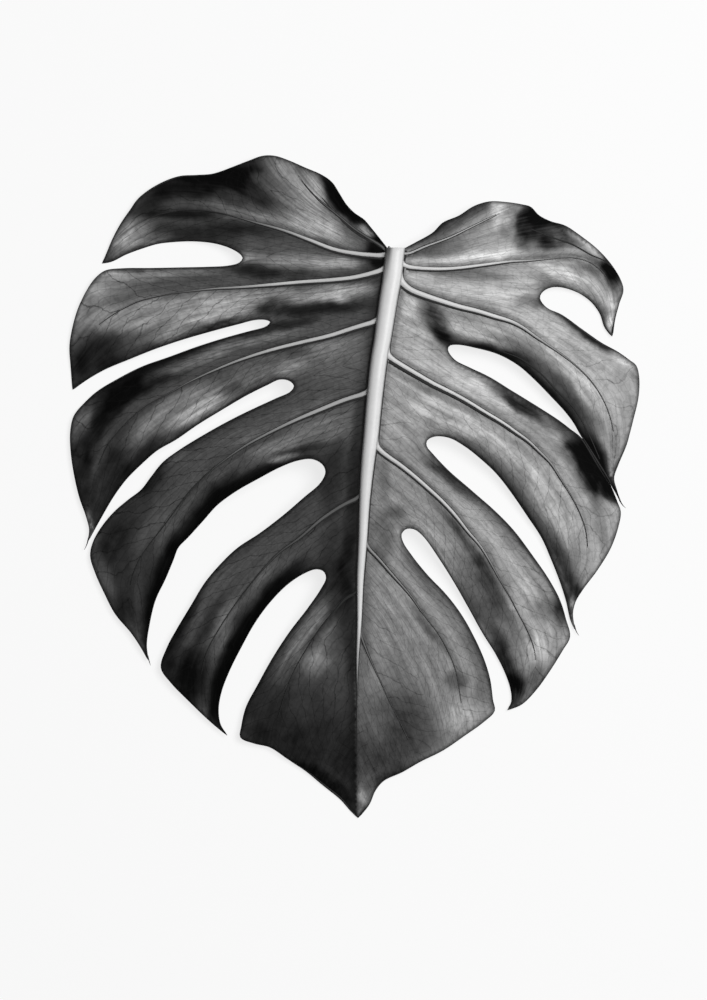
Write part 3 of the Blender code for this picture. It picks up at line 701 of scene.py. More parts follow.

# %% [markdown]
# ## Light and dark areas
# The blade's tone carries painted light and shade: the paler areas are painted sheen and highlights, and
# the darker ones are painted shade and shadows. Each such area is a soft oval, listed one by one, and
# its outline is made to wander by a noise, so that no oval shows. The areas are kept as one number at
# each point of the net, and the material adds the grain.

# %% Paler and darker patches
# Each patch of painted light or shade: its middle, its half length and half width, its turn from level
# in degrees, and how much paler (above nothing) or darker it is. They are listed from the midrib
# outwards.
PAINTED_LIGHT_PATCHES = [
    # Round the vein of lobe 0 on the left.
    (378, 250, 12, 9, 0, -0.9), (375, 237, 18, 4, 45, -0.6), (368, 232, 9, 5, 45, 0.7),
    (366, 232, 12, 5, 42, 1.3), (366, 231, 10, 4, 40, 0.9), (352, 226, 22, 3.5, 42, 0.5),
    (352, 215, 26, 6, 45, -0.9), (332, 191, 18, 7, 60, -1.0), (322, 215, 26, 12, 45, 0.3),
    (318, 192, 8, 14, -20, 0.5), (310, 184, 16, 12, 50, 0.6), (300, 205, 60, 18, 42, 0.5),
    (288, 176, 14, 10, 40, 0.4), (278, 183, 24, 8, 60, -0.1), (275, 163, 20, 8, 0, 0.5),
    (262, 164, 18, 9, 0, -0.4),
    # Round the vein of lobe 1 on the left.
    (368, 262, 14, 10, 0, -0.6), (345, 265, 26, 5, 0, 0.4), (335, 262, 40, 5, 0, 0.35),
    (315, 228, 50, 9, 22, 0.5), (265, 220, 60, 6, 15, 0.45), (256, 190, 14, 8, 20, 0.3),
    (250, 190, 45, 10, 32, -0.55), (250, 166, 18, 8, 0, -0.35), (245, 181, 45, 14, 10, -0.35),
    (240, 227, 50, 7, 14, -0.35), (232, 200, 16, 6, 15, -0.3), (205, 231, 48, 8, 5, -0.4),
    (200, 175, 60, 8, -5, -0.4), (195, 185, 40, 14, -5, -0.75), (180, 214, 40, 4, 0, -0.4),
    (180, 213, 28, 7, 0, -0.25), (178, 243, 42, 4, 0, 0.6), (150, 240, 24, 5, -12, 0.5),
    (150, 205, 25, 12, -40, -0.5), (130, 238, 28, 13, -50, 0.75), (124, 232, 8, 14, 30, 0.5),
    (112, 253, 14, 5, -50, -0.3),
    # Round the vein of lobe 2 on the left.
    (379, 264, 9, 5, 10, -0.8), (350, 290, 26, 6, -4, 0.35), (335, 297, 36, 5, -4, 0.5),
    (320, 292, 52, 6, -4, 0.7), (318, 309, 52, 7, -4, -0.6), (315, 300, 40, 5, -3, 0.4),
    (305, 262, 60, 8, 3, 0.6), (288, 275, 26, 6, 3, -0.3), (266, 303, 14, 8, -30, -0.5),
    (262, 292, 26, 6, -5, 0.35), (256, 303, 12, 6, -20, 0.4), (255, 272, 26, 8, 5, -0.5),
    (243, 314, 16, 6, -10, 0.7), (243, 256, 14, 7, 0, 0.6), (235, 300, 40, 9, -5, 0.5),
    (222, 322, 26, 3, -15, -0.6), (215, 316, 24, 6, -12, 0.45), (205, 312, 34, 7, -12, 0.4),
    (200, 323, 55, 7, -18, 0.5), (178, 272, 42, 4, 0, 0.45), (175, 335, 20, 10, -20, 0.4),
    (165, 310, 75, 16, -10, 0.85), (130, 275, 50, 5, 0, 0.4), (125, 288, 30, 8, -15, 0.3),
    (115, 280, 24, 10, -20, 0.35), (100, 352, 26, 20, -30, -0.6), (100, 318, 20, 12, -40, 0.1),
    (95, 285, 30, 12, -35, 0.35), (92, 305, 24, 24, 0, 0.4), (78, 372, 12, 24, 0, -0.4),
    (75, 318, 8, 26, 15, 0.35),
    # Round the vein of lobe 3 on the left.
    (335, 355, 34, 22, 0, 0.2), (335, 345, 30, 10, -10, 0.2), (315, 352, 30, 10, -12, 0.2),
    (300, 354, 14, 7, -10, -0.3), (296, 370, 14, 8, -15, 0.25), (290, 326, 30, 6, -12, -0.5),
    (285, 368, 22, 8, -15, 0.55), (255, 365, 30, 8, -20, 0.2), (255, 341, 55, 5, -14, 0.55),
    (232, 389, 14, 6, -28, -0.35), (230, 390, 14, 6, -25, -0.35), (222, 341, 22, 5, -15, 0.45),
    (215, 398, 60, 10, -26, 0.65), (205, 358, 45, 6, -20, 0.3), (205, 335, 40, 3, -16, -0.4),
    (200, 412, 36, 9, -28, 0.8), (190, 420, 24, 4, -30, 0.45), (190, 394, 26, 8, -25, 0.45),
    (190, 360, 40, 7, -22, 0.6), (165, 440, 26, 9, -40, 0.15), (165, 368, 28, 8, -25, 0.4),
    (160, 345, 60, 5, -20, -0.25), (150, 378, 60, 12, -25, -0.75), (145, 425, 36, 8, -38, 0.5),
    (140, 458, 34, 8, -45, -0.5), (140, 438, 50, 8, -48, 0.2), (140, 368, 40, 6, -20, -0.35),
    (120, 450, 12, 30, 35, -0.3), (110, 412, 40, 11, -50, -0.75), (105, 485, 14, 50, 25, -0.4),
    (93, 450, 8, 20, 20, -0.35), (88, 528, 5, 16, -10, 1.2), (82, 420, 8, 25, 15, 0.4),
    (80, 475, 12, 45, 0, -0.5),
    # Round the vein of lobe 4 on the left.
    (320, 430, 34, 16, -12, 0.35), (310, 408, 26, 6, -20, 0.2), (300, 449, 34, 5, -12, -0.45),
    (283, 459, 16, 4, -15, 1.5), (278, 452, 22, 6, -20, 0.4), (275, 446, 24, 6, -20, 0.5),
    (265, 432, 34, 6, -25, 0.3), (250, 480, 45, 7, -28, -0.6), (250, 425, 60, 8, -28, 0.1),
    (225, 482, 20, 7, -40, -0.4), (205, 500, 45, 8, -50, 0.05), (203, 503, 30, 8, -50, -0.4),
    (195, 525, 45, 9, -48, -0.8), (185, 540, 60, 9, -58, 0.45), (176, 456, 12, 6, -30, 0.5),
    (170, 620, 50, 14, -70, -0.25), (160, 590, 50, 10, -75, -0.9), (150, 575, 10, 36, 5, -0.3),
    (150, 480, 16, 8, -45, -0.35), (130, 520, 60, 14, -50, -0.3), (128, 615, 12, 20, -20, -0.25),
    (115, 575, 24, 60, 0, -0.35), (104, 575, 8, 24, -20, 0.4),
    # Round the vein of lobe 5 on the left.
    (350, 520, 7, 120, 4, -0.4), (335, 560, 16, 50, 0, -0.3), (334, 474, 13, 36, 8, -0.35),
    (265, 605, 60, 9, -50, -0.8), (240, 605, 26, 10, -55, -0.3), (240, 600, 55, 7, -50, 0.4),
    (240, 560, 60, 10, -40, 0.15), (222, 680, 50, 9, -75, -0.85), (222, 635, 9, 36, 20, 0.25),
    (210, 620, 30, 8, -60, -0.35), (200, 610, 40, 16, -60, 0.1), (195, 670, 40, 16, -70, -0.35),
    (186, 615, 40, 8, -68, -0.3), (185, 610, 45, 10, -65, -0.35), (178, 680, 28, 34, 0, -0.6),
    # Round the vein of lobe 6 on the left.
    (350, 640, 6, 50, 0, -0.3), (345, 780, 14, 40, 0, -0.2), (336, 585, 8, 26, 15, -0.25),
    (325, 785, 40, 10, 40, -0.5), (325, 640, 8, 20, 20, 0.4), (314, 662, 16, 14, 0, 0.65),
    (310, 745, 88, 64, 0, -0.22), (308, 628, 40, 7, -55, 0.7), (300, 712, 18, 16, 0, 0.2),
    (290, 730, 70, 40, 30, -0.3), (290, 650, 30, 10, -60, 0.2), (256, 672, 8, 26, 20, -0.25),
    (255, 735, 14, 10, 0, -0.15), (250, 675, 9, 30, 25, -0.25),
    # Round the vein of lobe 0 on the right.
    (432, 228, 28, 7, -38, -0.6), (440, 250, 28, 8, -18, -0.25), (455, 224, 20, 6, -38, -0.3),
    (480, 209, 14, 5, -25, -0.4), (500, 215, 9, 12, 0, 0.5), (506, 222, 8, 16, 0, -0.3),
    (512, 221, 6, 14, 0, 0.25), (528, 222, 15, 19, 5, -0.75), (540, 215, 14, 12, 20, -0.4),
    # Round the vein of lobe 1 on the right.
    (418, 274, 16, 10, 0, 0.3), (465, 258, 60, 5, -4, 0.5), (470, 276, 32, 6, 0, -0.3),
    (496, 248, 22, 7, -10, 0.1), (522, 286, 18, 12, 30, 0.2), (532, 246, 20, 14, 20, -0.4),
    (534, 236, 8, 12, 0, 0.3), (550, 218, 18, 8, 25, -0.5), (556, 238, 28, 16, 22, -0.55),
    (556, 251, 24, 5, 0, 0.3), (568, 278, 22, 6, 20, 0.3), (575, 250, 22, 7, 30, 0.15),
    (575, 282, 45, 9, 28, 0.45), (590, 248, 24, 3, 40, 0.4), (590, 268, 16, 5, 35, -0.35),
    (592, 280, 16, 5, 50, 0.3), (600, 262, 20, 6, 40, -0.35), (611, 327, 6, 10, 0, 0.7),
    (612, 268, 16, 8, 55, -0.5), (612, 276, 14, 6, 62, -0.5), (612, 310, 8, 20, -15, 0.3),
    (613, 312, 5, 14, 15, 0.1),
    # Round the vein of lobe 2 on the right.
    (408, 305, 10, 10, 0, 0.3), (437, 322, 26, 13, 56, -0.65), (444, 338, 12, 6, 45, -0.3),
    (468, 331, 26, 8, 24, 0.5), (470, 292, 70, 8, 10, 0.2), (490, 352, 36, 6, 12, -0.6),
    (500, 330, 26, 7, 22, 0.25), (500, 344, 20, 5, 15, 0.35), (525, 355, 30, 9, 40, -0.3),
    (530, 302, 16, 7, 0, -0.5), (540, 320, 80, 14, 28, 0.25), (545, 392, 50, 8, 42, -0.3),
    (570, 370, 40, 10, 48, 0.25), (574, 398, 50, 9, 52, -0.45), (590, 336, 36, 5, 35, -0.75),
    (593, 472, 24, 12, 60, -0.95), (596, 455, 26, 7, 62, -0.5), (597, 462, 24, 6, 62, -0.6),
    (600, 390, 25, 45, -15, 0.2), (600, 450, 22, 6, 62, -0.4), (605, 368, 14, 8, 30, 0.3),
    (607, 455, 7, 24, -15, 0.1), (613, 492, 13, 8, 60, -0.9), (622, 358, 16, 6, 35, 0.5),
    # Round the vein of lobe 3 on the right.
    (415, 340, 20, 40, 0, 0.15), (424, 420, 26, 12, 30, 0.12), (428, 408, 20, 12, 20, 0.25),
    (430, 419, 9, 6, 30, -0.25), (440, 396, 56, 4, 28, -0.3), (460, 430, 26, 6, 18, 0.35),
    (475, 388, 50, 9, 28, 0.3), (482, 380, 26, 6, 32, 0.35), (490, 438, 60, 11, 38, 0.3),
    (515, 402, 36, 6, 33, -0.7), (550, 500, 14, 40, -30, 0.25), (556, 565, 26, 4, 65, 0.4),
    (560, 500, 40, 30, 60, 0.15), (560, 612, 6, 16, -10, -0.4), (565, 565, 35, 9, 65, -0.4),
    (566, 436, 12, 10, 0, 0.5), (572, 600, 8, 30, -10, -0.3), (574, 616, 5, 20, 0, 0.8),
    (576, 466, 36, 9, 58, -0.35), (576, 520, 9, 24, 0, 0.1), (577, 446, 28, 9, 50, -0.85),
    (577, 592, 6, 8, 0, -0.4), (600, 520, 30, 8, 80, -0.3), (600, 540, 15, 40, 15, 0.2),
    # Round the vein of lobe 4 on the right.
    (383, 478, 7, 30, 0, -0.2), (394, 512, 10, 8, 0, -0.3), (425, 530, 26, 6, 36, 0.1),
    (440, 508, 40, 4, 52, -0.3), (445, 555, 50, 12, 55, 0.25), (446, 476, 32, 5, 43, -0.6),
    (468, 490, 46, 6, 43, -0.35), (470, 495, 60, 10, 45, 0.25), (470, 545, 42, 7, 58, -0.3),
    (474, 590, 50, 12, 62, -0.3), (475, 498, 36, 6, 43, 0.3), (482, 506, 36, 5, 48, -0.25),
    (499, 600, 55, 10, 62, -0.5), (503, 652, 32, 9, 72, -0.4), (514, 692, 11, 20, 0, -0.7),
    (515, 665, 12, 30, -20, -0.3), (520, 560, 60, 12, 58, 0.2), (520, 630, 20, 45, -10, 0.3),
    (538, 650, 10, 14, 0, 0.3), (538, 680, 10, 14, 0, -0.3), (540, 572, 30, 6, 60, 0.35),
    (545, 612, 16, 12, 0, -0.3), (550, 640, 25, 30, 0, 0.15),
    # Round the vein of lobe 5 on the right.
    (382, 540, 14, 26, 0, -0.3), (430, 586, 45, 5, 52, -0.2), (430, 630, 35, 4, 55, -0.35),
    (445, 600, 45, 9, 55, 0.25), (455, 680, 12, 10, 0, -0.35), (462, 602, 60, 6, 60, 0.45),
    (465, 715, 22, 14, -30, 0.3), (478, 700, 8, 14, 0, -0.2),
    # Round the vein of lobe 6 on the right.
    (361, 797, 4, 9, 0, 0.4), (364, 620, 8, 60, 0, -0.2), (385, 765, 26, 30, -35, -0.3),
    (385, 780, 25, 8, -30, -0.2), (395, 665, 10, 24, -20, -0.1), (400, 738, 50, 52, -30, -0.08),
    (410, 720, 26, 40, -20, -0.35),
]

PATCH_CRISPNESS = 1.8
# The patches' outlines wander: how far and over what distance, in squares.
WANDER = [(3.4, 24.0), (1.8, 9.0)]
WANDER_SLICES = (7.0, 12.0)


def wandered():
    moved = places.copy()
    for reach, size in WANDER:
        for k, slice_height in enumerate(WANDER_SLICES):
            swing = [noise(Vector((x / size, y / size, slice_height))) for x, y in places]
            moved[:, k] += reach * numpy.array(swing)
    return moved


# Painted sheen, highlights and shadows, summed from the patches.
def painted_light_tone():
    tone = numpy.zeros(len(places))
    moved = wandered()
    for x, y, half_length, half_width, turn, strength in PAINTED_LIGHT_PATCHES:
        turn = math.radians(turn)
        dx, dy = moved[:, 0] - x, moved[:, 1] - y
        lengthways = (dx * math.cos(turn) + dy * math.sin(turn)) / half_length
        sideways = (dy * math.cos(turn) - dx * math.sin(turn)) / half_width
        tone += strength * numpy.exp(-(lengthways ** 2 + sideways ** 2) ** PATCH_CRISPNESS)
    return tone


print("patches:", len(PAINTED_LIGHT_PATCHES))

# %% [markdown]
# ## The numbers that the finish reads
# The left half of the leaf is painted darker than the right, as painted shade away from the lamp on the
# right, and it darkens towards the midrib with a painted shadow. The rim is dark, some free edges carry
# painted shade where they turn away from the light, and the skin beside the side veins carries a painted
# shadow, most of all on the side towards the leaf's tip. The patches bring painted light and shade. Each
# of these is worked out here from the distances, and the mesh carries it.

# %% Shades of the blade
# The left half is painted darker than the right, as painted shade away from the lamp on the right. The
# change from one to the other takes this many squares at the midrib's crest.
SIDE_BLEND = 2.0
# The painted shadow beside the midrib's left foot: how dark it is and how far it reaches, and the curve
# along which every painted shade here fades.
FOOT_SHADE, FOOT_REACH, SHADE_CURVE = 0.55, 15.0, 1.5
# How wide the dark line at the rim is, and how far the painted shade of a free edge reaches.
EDGE_LINE_WIDTH, EDGE_SHADE_WIDTH = 2.5, 18.0
# Beside a vein lies a painted shadow: how wide it is all round the vein, how dark where the vein ends
# and how much more at its root, then how wide and how dark it is on the side towards the leaf's tip,
# away from the lamp.
RIB_SHADE_WIDTH, RIB_SHADE_END, RIB_SHADE_ROOT = 4.5, 0.35, 0.4
BELOW_WIDTH, BELOW_SHADE = 6.5, 1.1


def right_of_midrib(side):
    """How far each point lies to the right of the midrib's crest or foot."""
    return places[:, 0] - numpy.array([midrib_at(y, side).x for _, y in places])


def shades():
    """Every shade by name, as one number for each point of the net."""
    gap = -right_of_midrib(-1)
    foot = numpy.where(gap > 0, nearness(gap, FOOT_REACH) ** SHADE_CURVE * FOOT_SHADE, 0.0)
    free = nearness(to_edge, EDGE_SHADE_WIDTH) ** SHADE_CURVE * edge_shade
    around = nearness(to_rib, RIB_SHADE_WIDTH) * (RIB_SHADE_END + RIB_SHADE_ROOT * rib_shade)
    below = nearness(to_rib, BELOW_WIDTH) * below_rib * rib_shade * BELOW_SHADE
    return {
        "edge_line": nearness(to_edge, EDGE_LINE_WIDTH),
        "edge_shade": numpy.maximum(free, foot),
        "rib_near": numpy.maximum(around, below),
        "patch": painted_light_tone(),
        "side": numpy.clip(right_of_midrib(0) / SIDE_BLEND + 0.5, 0.0, 1.0),
    }


blade_shades = shades()
print("mean shades:", {name: round(float(value.mean()), 2) for name, value in blade_shades.items()})

# %% [markdown]
# ## Two faces and a wall
# The net's points are written twice, a millimetre apart, and the sides that only one triangle has are
# joined by a wall, so the blade is a closed solid. A closed solid casts a true shadow and has no
# see-through back. The growth numbers become a UV map, so that the material can draw fine veins along
# them.

# %% The blade's mesh
BLADE_THICKNESS = 0.001
SHARP_ANGLE = 50


def to_frame(x, y, height=0.0):
    """A place on the sheet of squares, and a height in millimetres, as a place in the frame."""
    return ((x - SHEET_MIDDLE[0]) * SQUARE, (SHEET_MIDDLE[1] - y) * SQUARE, height * MM)


def outer_sides(faces):
    """The sides that only one triangle has, each in that triangle's direction."""
    sides = set()
    for a, b, c in faces:
        sides |= {(a, b), (b, c), (c, a)}
    return [(a, b) for a, b in sides if (b, a) not in sides]


def blade_mesh():
    a, b, c = (places[triangles[:, k]] for k in range(3))
    u, v = b - a, c - a
    turned = (u[:, 0] * v[:, 1] - u[:, 1] * v[:, 0]) > 0
    faces = numpy.where(turned[:, None], triangles[:, ::-1], triangles).tolist()
    count = len(places)
    lower = [to_frame(x, y, z) for (x, y), z in zip(places, rise)]
    upper = [(x, y, z + BLADE_THICKNESS) for x, y, z in lower]
    walls = [(b, a, a + count, b + count) for a, b in sorted(outer_sides(faces))]
    below = [(c + count, b + count, a + count) for a, b, c in faces]
    mesh = bpy.data.meshes.new("leaf_blade")
    mesh.from_pydata(upper + lower, [], faces + below + walls)
    corner_points = numpy.zeros(len(mesh.loops), int)
    mesh.loops.foreach_get("vertex_index", corner_points)
    growth = numpy.stack([along, across], 1)[corner_points % count]
    mesh.uv_layers.new(name="growth").data.foreach_set("uv", growth.ravel())
    for name, values in blade_shades.items():
        attribute = mesh.attributes.new(name, "FLOAT", "POINT")
        attribute.data.foreach_set("value", numpy.concatenate([values, values]))
    mesh.shade_smooth()
    mesh.set_sharp_from_angle(angle=math.radians(SHARP_ANGLE))
    return mesh


def add_object(name, data):
    made = bpy.data.objects.new(name, data)
    bpy.context.scene.collection.objects.link(made)
    return made


blade = add_object("leaf_blade", blade_mesh())
surface = BVHTree.FromObject(blade, bpy.context.evaluated_depsgraph_get())
print("blade faces:", len(blade.data.polygons))

# %% [markdown]
# ## Places on the blade
# Ribs, furrows and folds all lie on the blade. Their height is found by dropping a ray on the mesh that
# was just made, because it knows every lip and hollow.

# %% Reading the surface
RAY_START = 0.2


def surface_height(x, y):
    """The height of the blade's ribbed face there, in metres."""
    fx, fy, _ = to_frame(x, y)
    hit = surface.ray_cast(Vector((fx, fy, RAY_START)), Vector((0.0, 0.0, -1.0)))
    return hit[0].z if hit[0] else BLADE_THICKNESS


def thread_point(place, half_width, lift=0.0, pale=0.0):
    """A point of a swept line: its place on the blade, its half width in metres and its paleness."""
    x, y, _ = to_frame(*place)
    return (x, y, surface_height(*place) + lift), half_width * SQUARE, pale


print(f"the middle of the blade is {surface_height(*SHEET_MIDDLE) / MM:.1f} mm up")

# %% [markdown]
# ## The midrib
# The midrib is a stout rib, half round and a little flat on its crest, that tapers to nothing three
# quarters of the way down. It is swept in rows of points across, from foot to foot, and closed below.
# Its upper end was cut square and clean, with only a hair of a bevel.

# %% Sweep of the midrib
MIDRIB_RIDGE, MIDRIB_FULL_WIDTH, MIDRIB_TAPER = 4.8, 8.0, 0.8
MIDRIB_ROUND = 16
MIDRIB_FLATNESS = 0.5
MIDRIB_STEP = 4.0
# The left flank leans out a little further than the midrib's plain half width.
LEFT_FLANK = 1.16
CUT_BEVEL = 0.4
# The feet go this deep below the groove, and the closed side this far above the blade's back.
MIDRIB_SINK, MIDRIB_BACK = 0.4, 0.1
# The UV map's second number counts hundreds of squares down the sheet.
UV_LENGTH = 100.0


def flank_at(y, side):
    return midrib_at(y, side * LEFT_FLANK if side < 0 else side)


def midrib_row(mesh, y, cut):
    """One row across the midrib: each point with its side, from -1 to 1, and its height on the sheet."""
    half_width = read_table(MIDRIB_HALF_WIDTH, y)
    height = MIDRIB_RIDGE * min(half_width / MIDRIB_FULL_WIDTH, 1.0) ** MIDRIB_TAPER
    base = read_table(MIDRIB_RISE, y)
    shrink = 1.0 - CUT_BEVEL / half_width if cut else 1.0
    row_y = y - CUT_BEVEL if cut else y
    dip = -GROOVE_DEPTH - MIDRIB_SINK
    profile = []
    for j in range(MIDRIB_ROUND + 1):
        turn = math.pi * j / MIDRIB_ROUND
        lift = abs(math.sin(turn)) ** MIDRIB_FLATNESS * height * shrink
        rise = BLADE_THICKNESS / MM + dip + lift * (1 - dip / height)
        profile.append((-math.cos(turn) * shrink, rise))
    profile += [(shrink, MIDRIB_BACK), (-shrink, MIDRIB_BACK)]
    row = []
    for side, rise in profile:
        corner = to_frame(flank_at(y, side).x, row_y, base + rise)
        row.append((mesh.verts.new(corner), side, y))
    return row


def midrib_mesh():
    mesh = bmesh.new()
    uv_layer = mesh.loops.layers.uv.new("growth")
    steps = round((RIB_END - SHEET_NECK) / MIDRIB_STEP)
    rows = []
    for i in range(-1, steps):
        rows.append(midrib_row(mesh, mix(SHEET_NECK, RIB_END, max(i, 0) / steps), i == -1))

    def add_face(corners, smooth):
        face = mesh.faces.new([v for v, _, _ in corners])
        face.smooth = smooth
        for corner, (_, side, y) in zip(face.loops, corners):
            corner[uv_layer].uv = (side, y / UV_LENGTH)

    for near, far in zip(rows, rows[1:]):
        for j in range(len(near)):
            k = (j + 1) % len(near)
            add_face([near[j], near[k], far[k], far[j]], j < MIDRIB_ROUND)
    add_face(rows[0], False)
    add_face(rows[-1], False)
    bmesh.ops.recalc_face_normals(mesh, faces=mesh.faces)
    data = bpy.data.meshes.new("midrib")
    mesh.to_mesh(data)
    mesh.free()
    return data


midrib = add_object("midrib", midrib_mesh())
print("midrib faces:", len(midrib.data.polygons))

# %% [markdown]
# ## Node maths as plain expressions
# A leaf's finish is many small terms added and multiplied. One small class wraps a socket, so that
# they can be written as a formula, and each operator adds its Math node. The tree that sweeps the ribs
# is built with the same two classes.

# %% Sockets that can be added and multiplied
class Wire:
    """A socket of a node tree that takes part in expressions."""

    def __init__(self, tree, socket):
        self.tree, self.socket = tree, socket

    def math(self, operation, *others, clamp=False):
        made = self.tree.nodes.new("ShaderNodeMath")
        made.operation = operation
        made.use_clamp = clamp
        for socket, value in zip(made.inputs, (self, *others)):
            plug(self.tree, socket, value)
        return Wire(self.tree, made.outputs[0])

    def __add__(self, other):
        return self.math("ADD", other)

    __radd__ = __add__

    def __mul__(self, other):
        return self.math("MULTIPLY", other)

    __rmul__ = __mul__

    def __sub__(self, other):
        return self.math("SUBTRACT", other)

    def __rsub__(self, other):
        return self.math("MULTIPLY", -1.0) + other

    def __pow__(self, other):
        return self.math("POWER", other)

    def clamped(self):
        return self.math("ADD", 0.0, clamp=True)


def plug(tree, socket, value):
    """Give a socket a link, where the value is a wire, or else the plain value."""
    if isinstance(value, Wire):
        tree.links.new(value.socket, socket)
    else:
        socket.default_value = value


class Nodes:
    """A node tree under construction."""

    def __init__(self, tree):
        self.tree = tree

    def add(self, kind, settings=None, output=0, **values):
        """Any node: its settings first, then the values or links of its sockets."""
        made = self.tree.nodes.new(kind)
        for name, value in (settings or {}).items():
            if name == "stops":
                ramp = made.color_ramp
                while len(ramp.elements) < len(value):
                    ramp.elements.new(0.5)
                for element, (place, grey) in zip(ramp.elements, value):
                    element.position = place
                    element.color = (grey, grey, grey, 1.0)
            else:
                setattr(made, name, value)
        for name, value in values.items():
            plug(self.tree, made.inputs[name.replace("_", " ")], value)
        return Wire(self.tree, made.outputs[output])


print("reflected operators:", [name for name in vars(Wire) if name.startswith("__r")])

# %% [markdown]
# ## The side veins
# A side vein repeats fourteen times, follows a path on the blade, and only its length and width
# change. That is work for Geometry Nodes: each vein is one line of a mesh that carries the vein's half
# width at each point, and the tree sweeps a flattened round along them all.

# %% A tree that sweeps ribs along lines
def rib_tree():
    tree = bpy.data.node_groups.new("sweep_ribs", "GeometryNodeTree")
    kinds = {"Geometry": "Geometry", "Sides": "Int", "Height Share": "Float", "Finish": "Material"}
    for name, kind in kinds.items():
        tree.interface.new_socket(name, in_out="INPUT", socket_type="NodeSocket" + kind)
    tree.interface.new_socket("Geometry", in_out="OUTPUT", socket_type="NodeSocketGeometry")
    nodes = Nodes(tree)
    given = {name: nodes.add("NodeGroupInput", output=name) for name in kinds}
    line = nodes.add("GeometryNodeMeshToCurve", Mesh=given["Geometry"])
    upright = nodes.add("GeometryNodeSetCurveNormal", {"mode": "Z_UP"}, Curve=line)
    circle = nodes.add("GeometryNodeCurvePrimitiveCircle", Resolution=given["Sides"], Radius=1.0)
    sideways = nodes.add("ShaderNodeSeparateXYZ", Vector=nodes.add("GeometryNodeInputPosition"))
    marked = nodes.add(
        "GeometryNodeStoreNamedAttribute", {"data_type": "FLOAT", "domain": "POINT"},
        Geometry=circle, Name="flank", Value=sideways.math("ABSOLUTE")
    )
    flat = nodes.add("ShaderNodeCombineXYZ", X=1.0, Y=given["Height Share"], Z=1.0)
    profile = nodes.add("GeometryNodeTransform", Geometry=marked, Scale=flat)
    half_width = nodes.add(
        "GeometryNodeInputNamedAttribute", {"data_type": "FLOAT"}, Name="half_width"
    )
    swept = nodes.add(
        "GeometryNodeCurveToMesh",
        Curve=upright, Profile_Curve=profile, Scale=half_width, Fill_Caps=True
    )
    smooth = nodes.add("GeometryNodeSetShadeSmooth", Geometry=swept)
    real = nodes.add("GeometryNodeRealizeInstances", Geometry=smooth)
    dressed = nodes.add("GeometryNodeSetMaterial", Geometry=real, Material=given["Finish"])
    plug(tree, tree.nodes.new("NodeGroupOutput").inputs["Geometry"], dressed)
    return tree


RIB_TREE = rib_tree()


def sweep(name, lines, material, sides, height_share):
    """One mesh piece from lines of (place in the frame, half width in metres, paleness)."""
    points = [point for line in lines for point in line]
    steps, first = [], 0
    for line in lines:
        steps += [(first + i, first + i + 1) for i in range(len(line) - 1)]
        first += len(line)
    mesh = bpy.data.meshes.new(name + "_lines")
    mesh.from_pydata([point[0] for point in points], steps, [])
    for k, attribute_name in ((1, "half_width"), (2, "pale")):
        attribute = mesh.attributes.new(attribute_name, "FLOAT", "POINT")
        attribute.data.foreach_set("value", [point[k] for point in points])
    path = add_object(name + "_lines", mesh)
    modifier = path.modifiers.new("sweep", "NODES")
    modifier.node_group = RIB_TREE
    values = {"Sides": sides, "Height Share": height_share, "Finish": material}
    for item in RIB_TREE.interface.items_tree:
        if item.in_out == "INPUT" and item.name in values:
            modifier[item.identifier] = values[item.name]
    graph = bpy.context.evaluated_depsgraph_get()
    swept = bpy.data.meshes.new_from_object(path.evaluated_get(graph), depsgraph=graph)
    swept.name = name
    bpy.data.objects.remove(path)
    bpy.data.meshes.remove(mesh)
    return add_object(name, swept)


print("nodes in the tree:", len(RIB_TREE.nodes))

# %% [markdown]
# ## From the midrib's flank out over the blade
# A vein leaves the midrib's flank pointing downwards and then bends out. It is pale and stout at its
# root, and somewhere along the lobe it turns dark and thin, so a row of three numbers goes with each.

# %% Veins as swept lines
# How pale each side vein is at its root, the share of its length where it fades, and how pale it
# is beyond that.
LEFT_PALE = [
    (0.12, 0.8, 0.0), (0.85, 0.42, 0.0), (0.9, 0.5, 0.02), (0.85, 0.46, 0.01), (0.65, 0.34, 0.0),
    (0.15, 0.34, 0.0), (0.0, 0.2, 0.0),
]
RIGHT_PALE = [
    (0.6, 0.9, 0.3), (1.0, 0.55, 0.1), (1.0, 0.5, 0.15), (0.95, 0.6, 0.04), (0.9, 0.5, 0.08),
    (0.4, 0.35, 0.1), (0.2, 0.25, 0.12),
]
# How much of a vein's length the fading takes, and how slowly it starts.
TURN_LENGTH, PALE_FADE = 0.35, 1.3
# A vein is lost in the blade beyond this share of its length.
VEIN_SHARE = 0.88
# A vein's built width where it is dark and where it is pale, as a share of the tables' width.
DARK_WIDTH, PALE_WIDTH = 0.45, 1.1
# How deep a vein is sunk, in millimetres for each square of its half width.
VEIN_SINK = 0.1575
# The root: how far up the flank it starts, its two first knots across the flank, how much it
# widens, its steps to each knot, and the spot where it joins the vein.
ROOT_RISE, ROOT_KNOTS, ROOT_FLARE, ROOT_STEPS, ROOT_SPOT = 11.0, (0.45, 0.95), 0.7, 6, 3


def vein_root(spots, root_y, side):
    """The first stretch of a vein's line: it leaves the midrib's flank and bends outwards."""
    start_y = max(root_y - ROOT_RISE, SHEET_NECK + 1)
    heights = (start_y, max(root_y - 2, start_y + 2))
    knots = [midrib_at(y, side * share) for y, share in zip(heights, ROOT_KNOTS)]
    knots += [spot.place for spot in spots[ROOT_SPOT - 1:ROOT_SPOT + 1]]
    return smooth_curve(knots, ROOT_STEPS)[:2 * ROOT_STEPS + 1]


def pale_share(pale, share):
    """1 where the vein is pale, fading to 0 round its turn."""
    return min(max((pale[1] - share) / TURN_LENGTH + 0.5, 0.0), 1.0)


def vein_width(half_width, pale, share):
    """A vein is stouter where it is pale."""
    return half_width * mix(DARK_WIDTH, PALE_WIDTH, pale_share(pale, share))


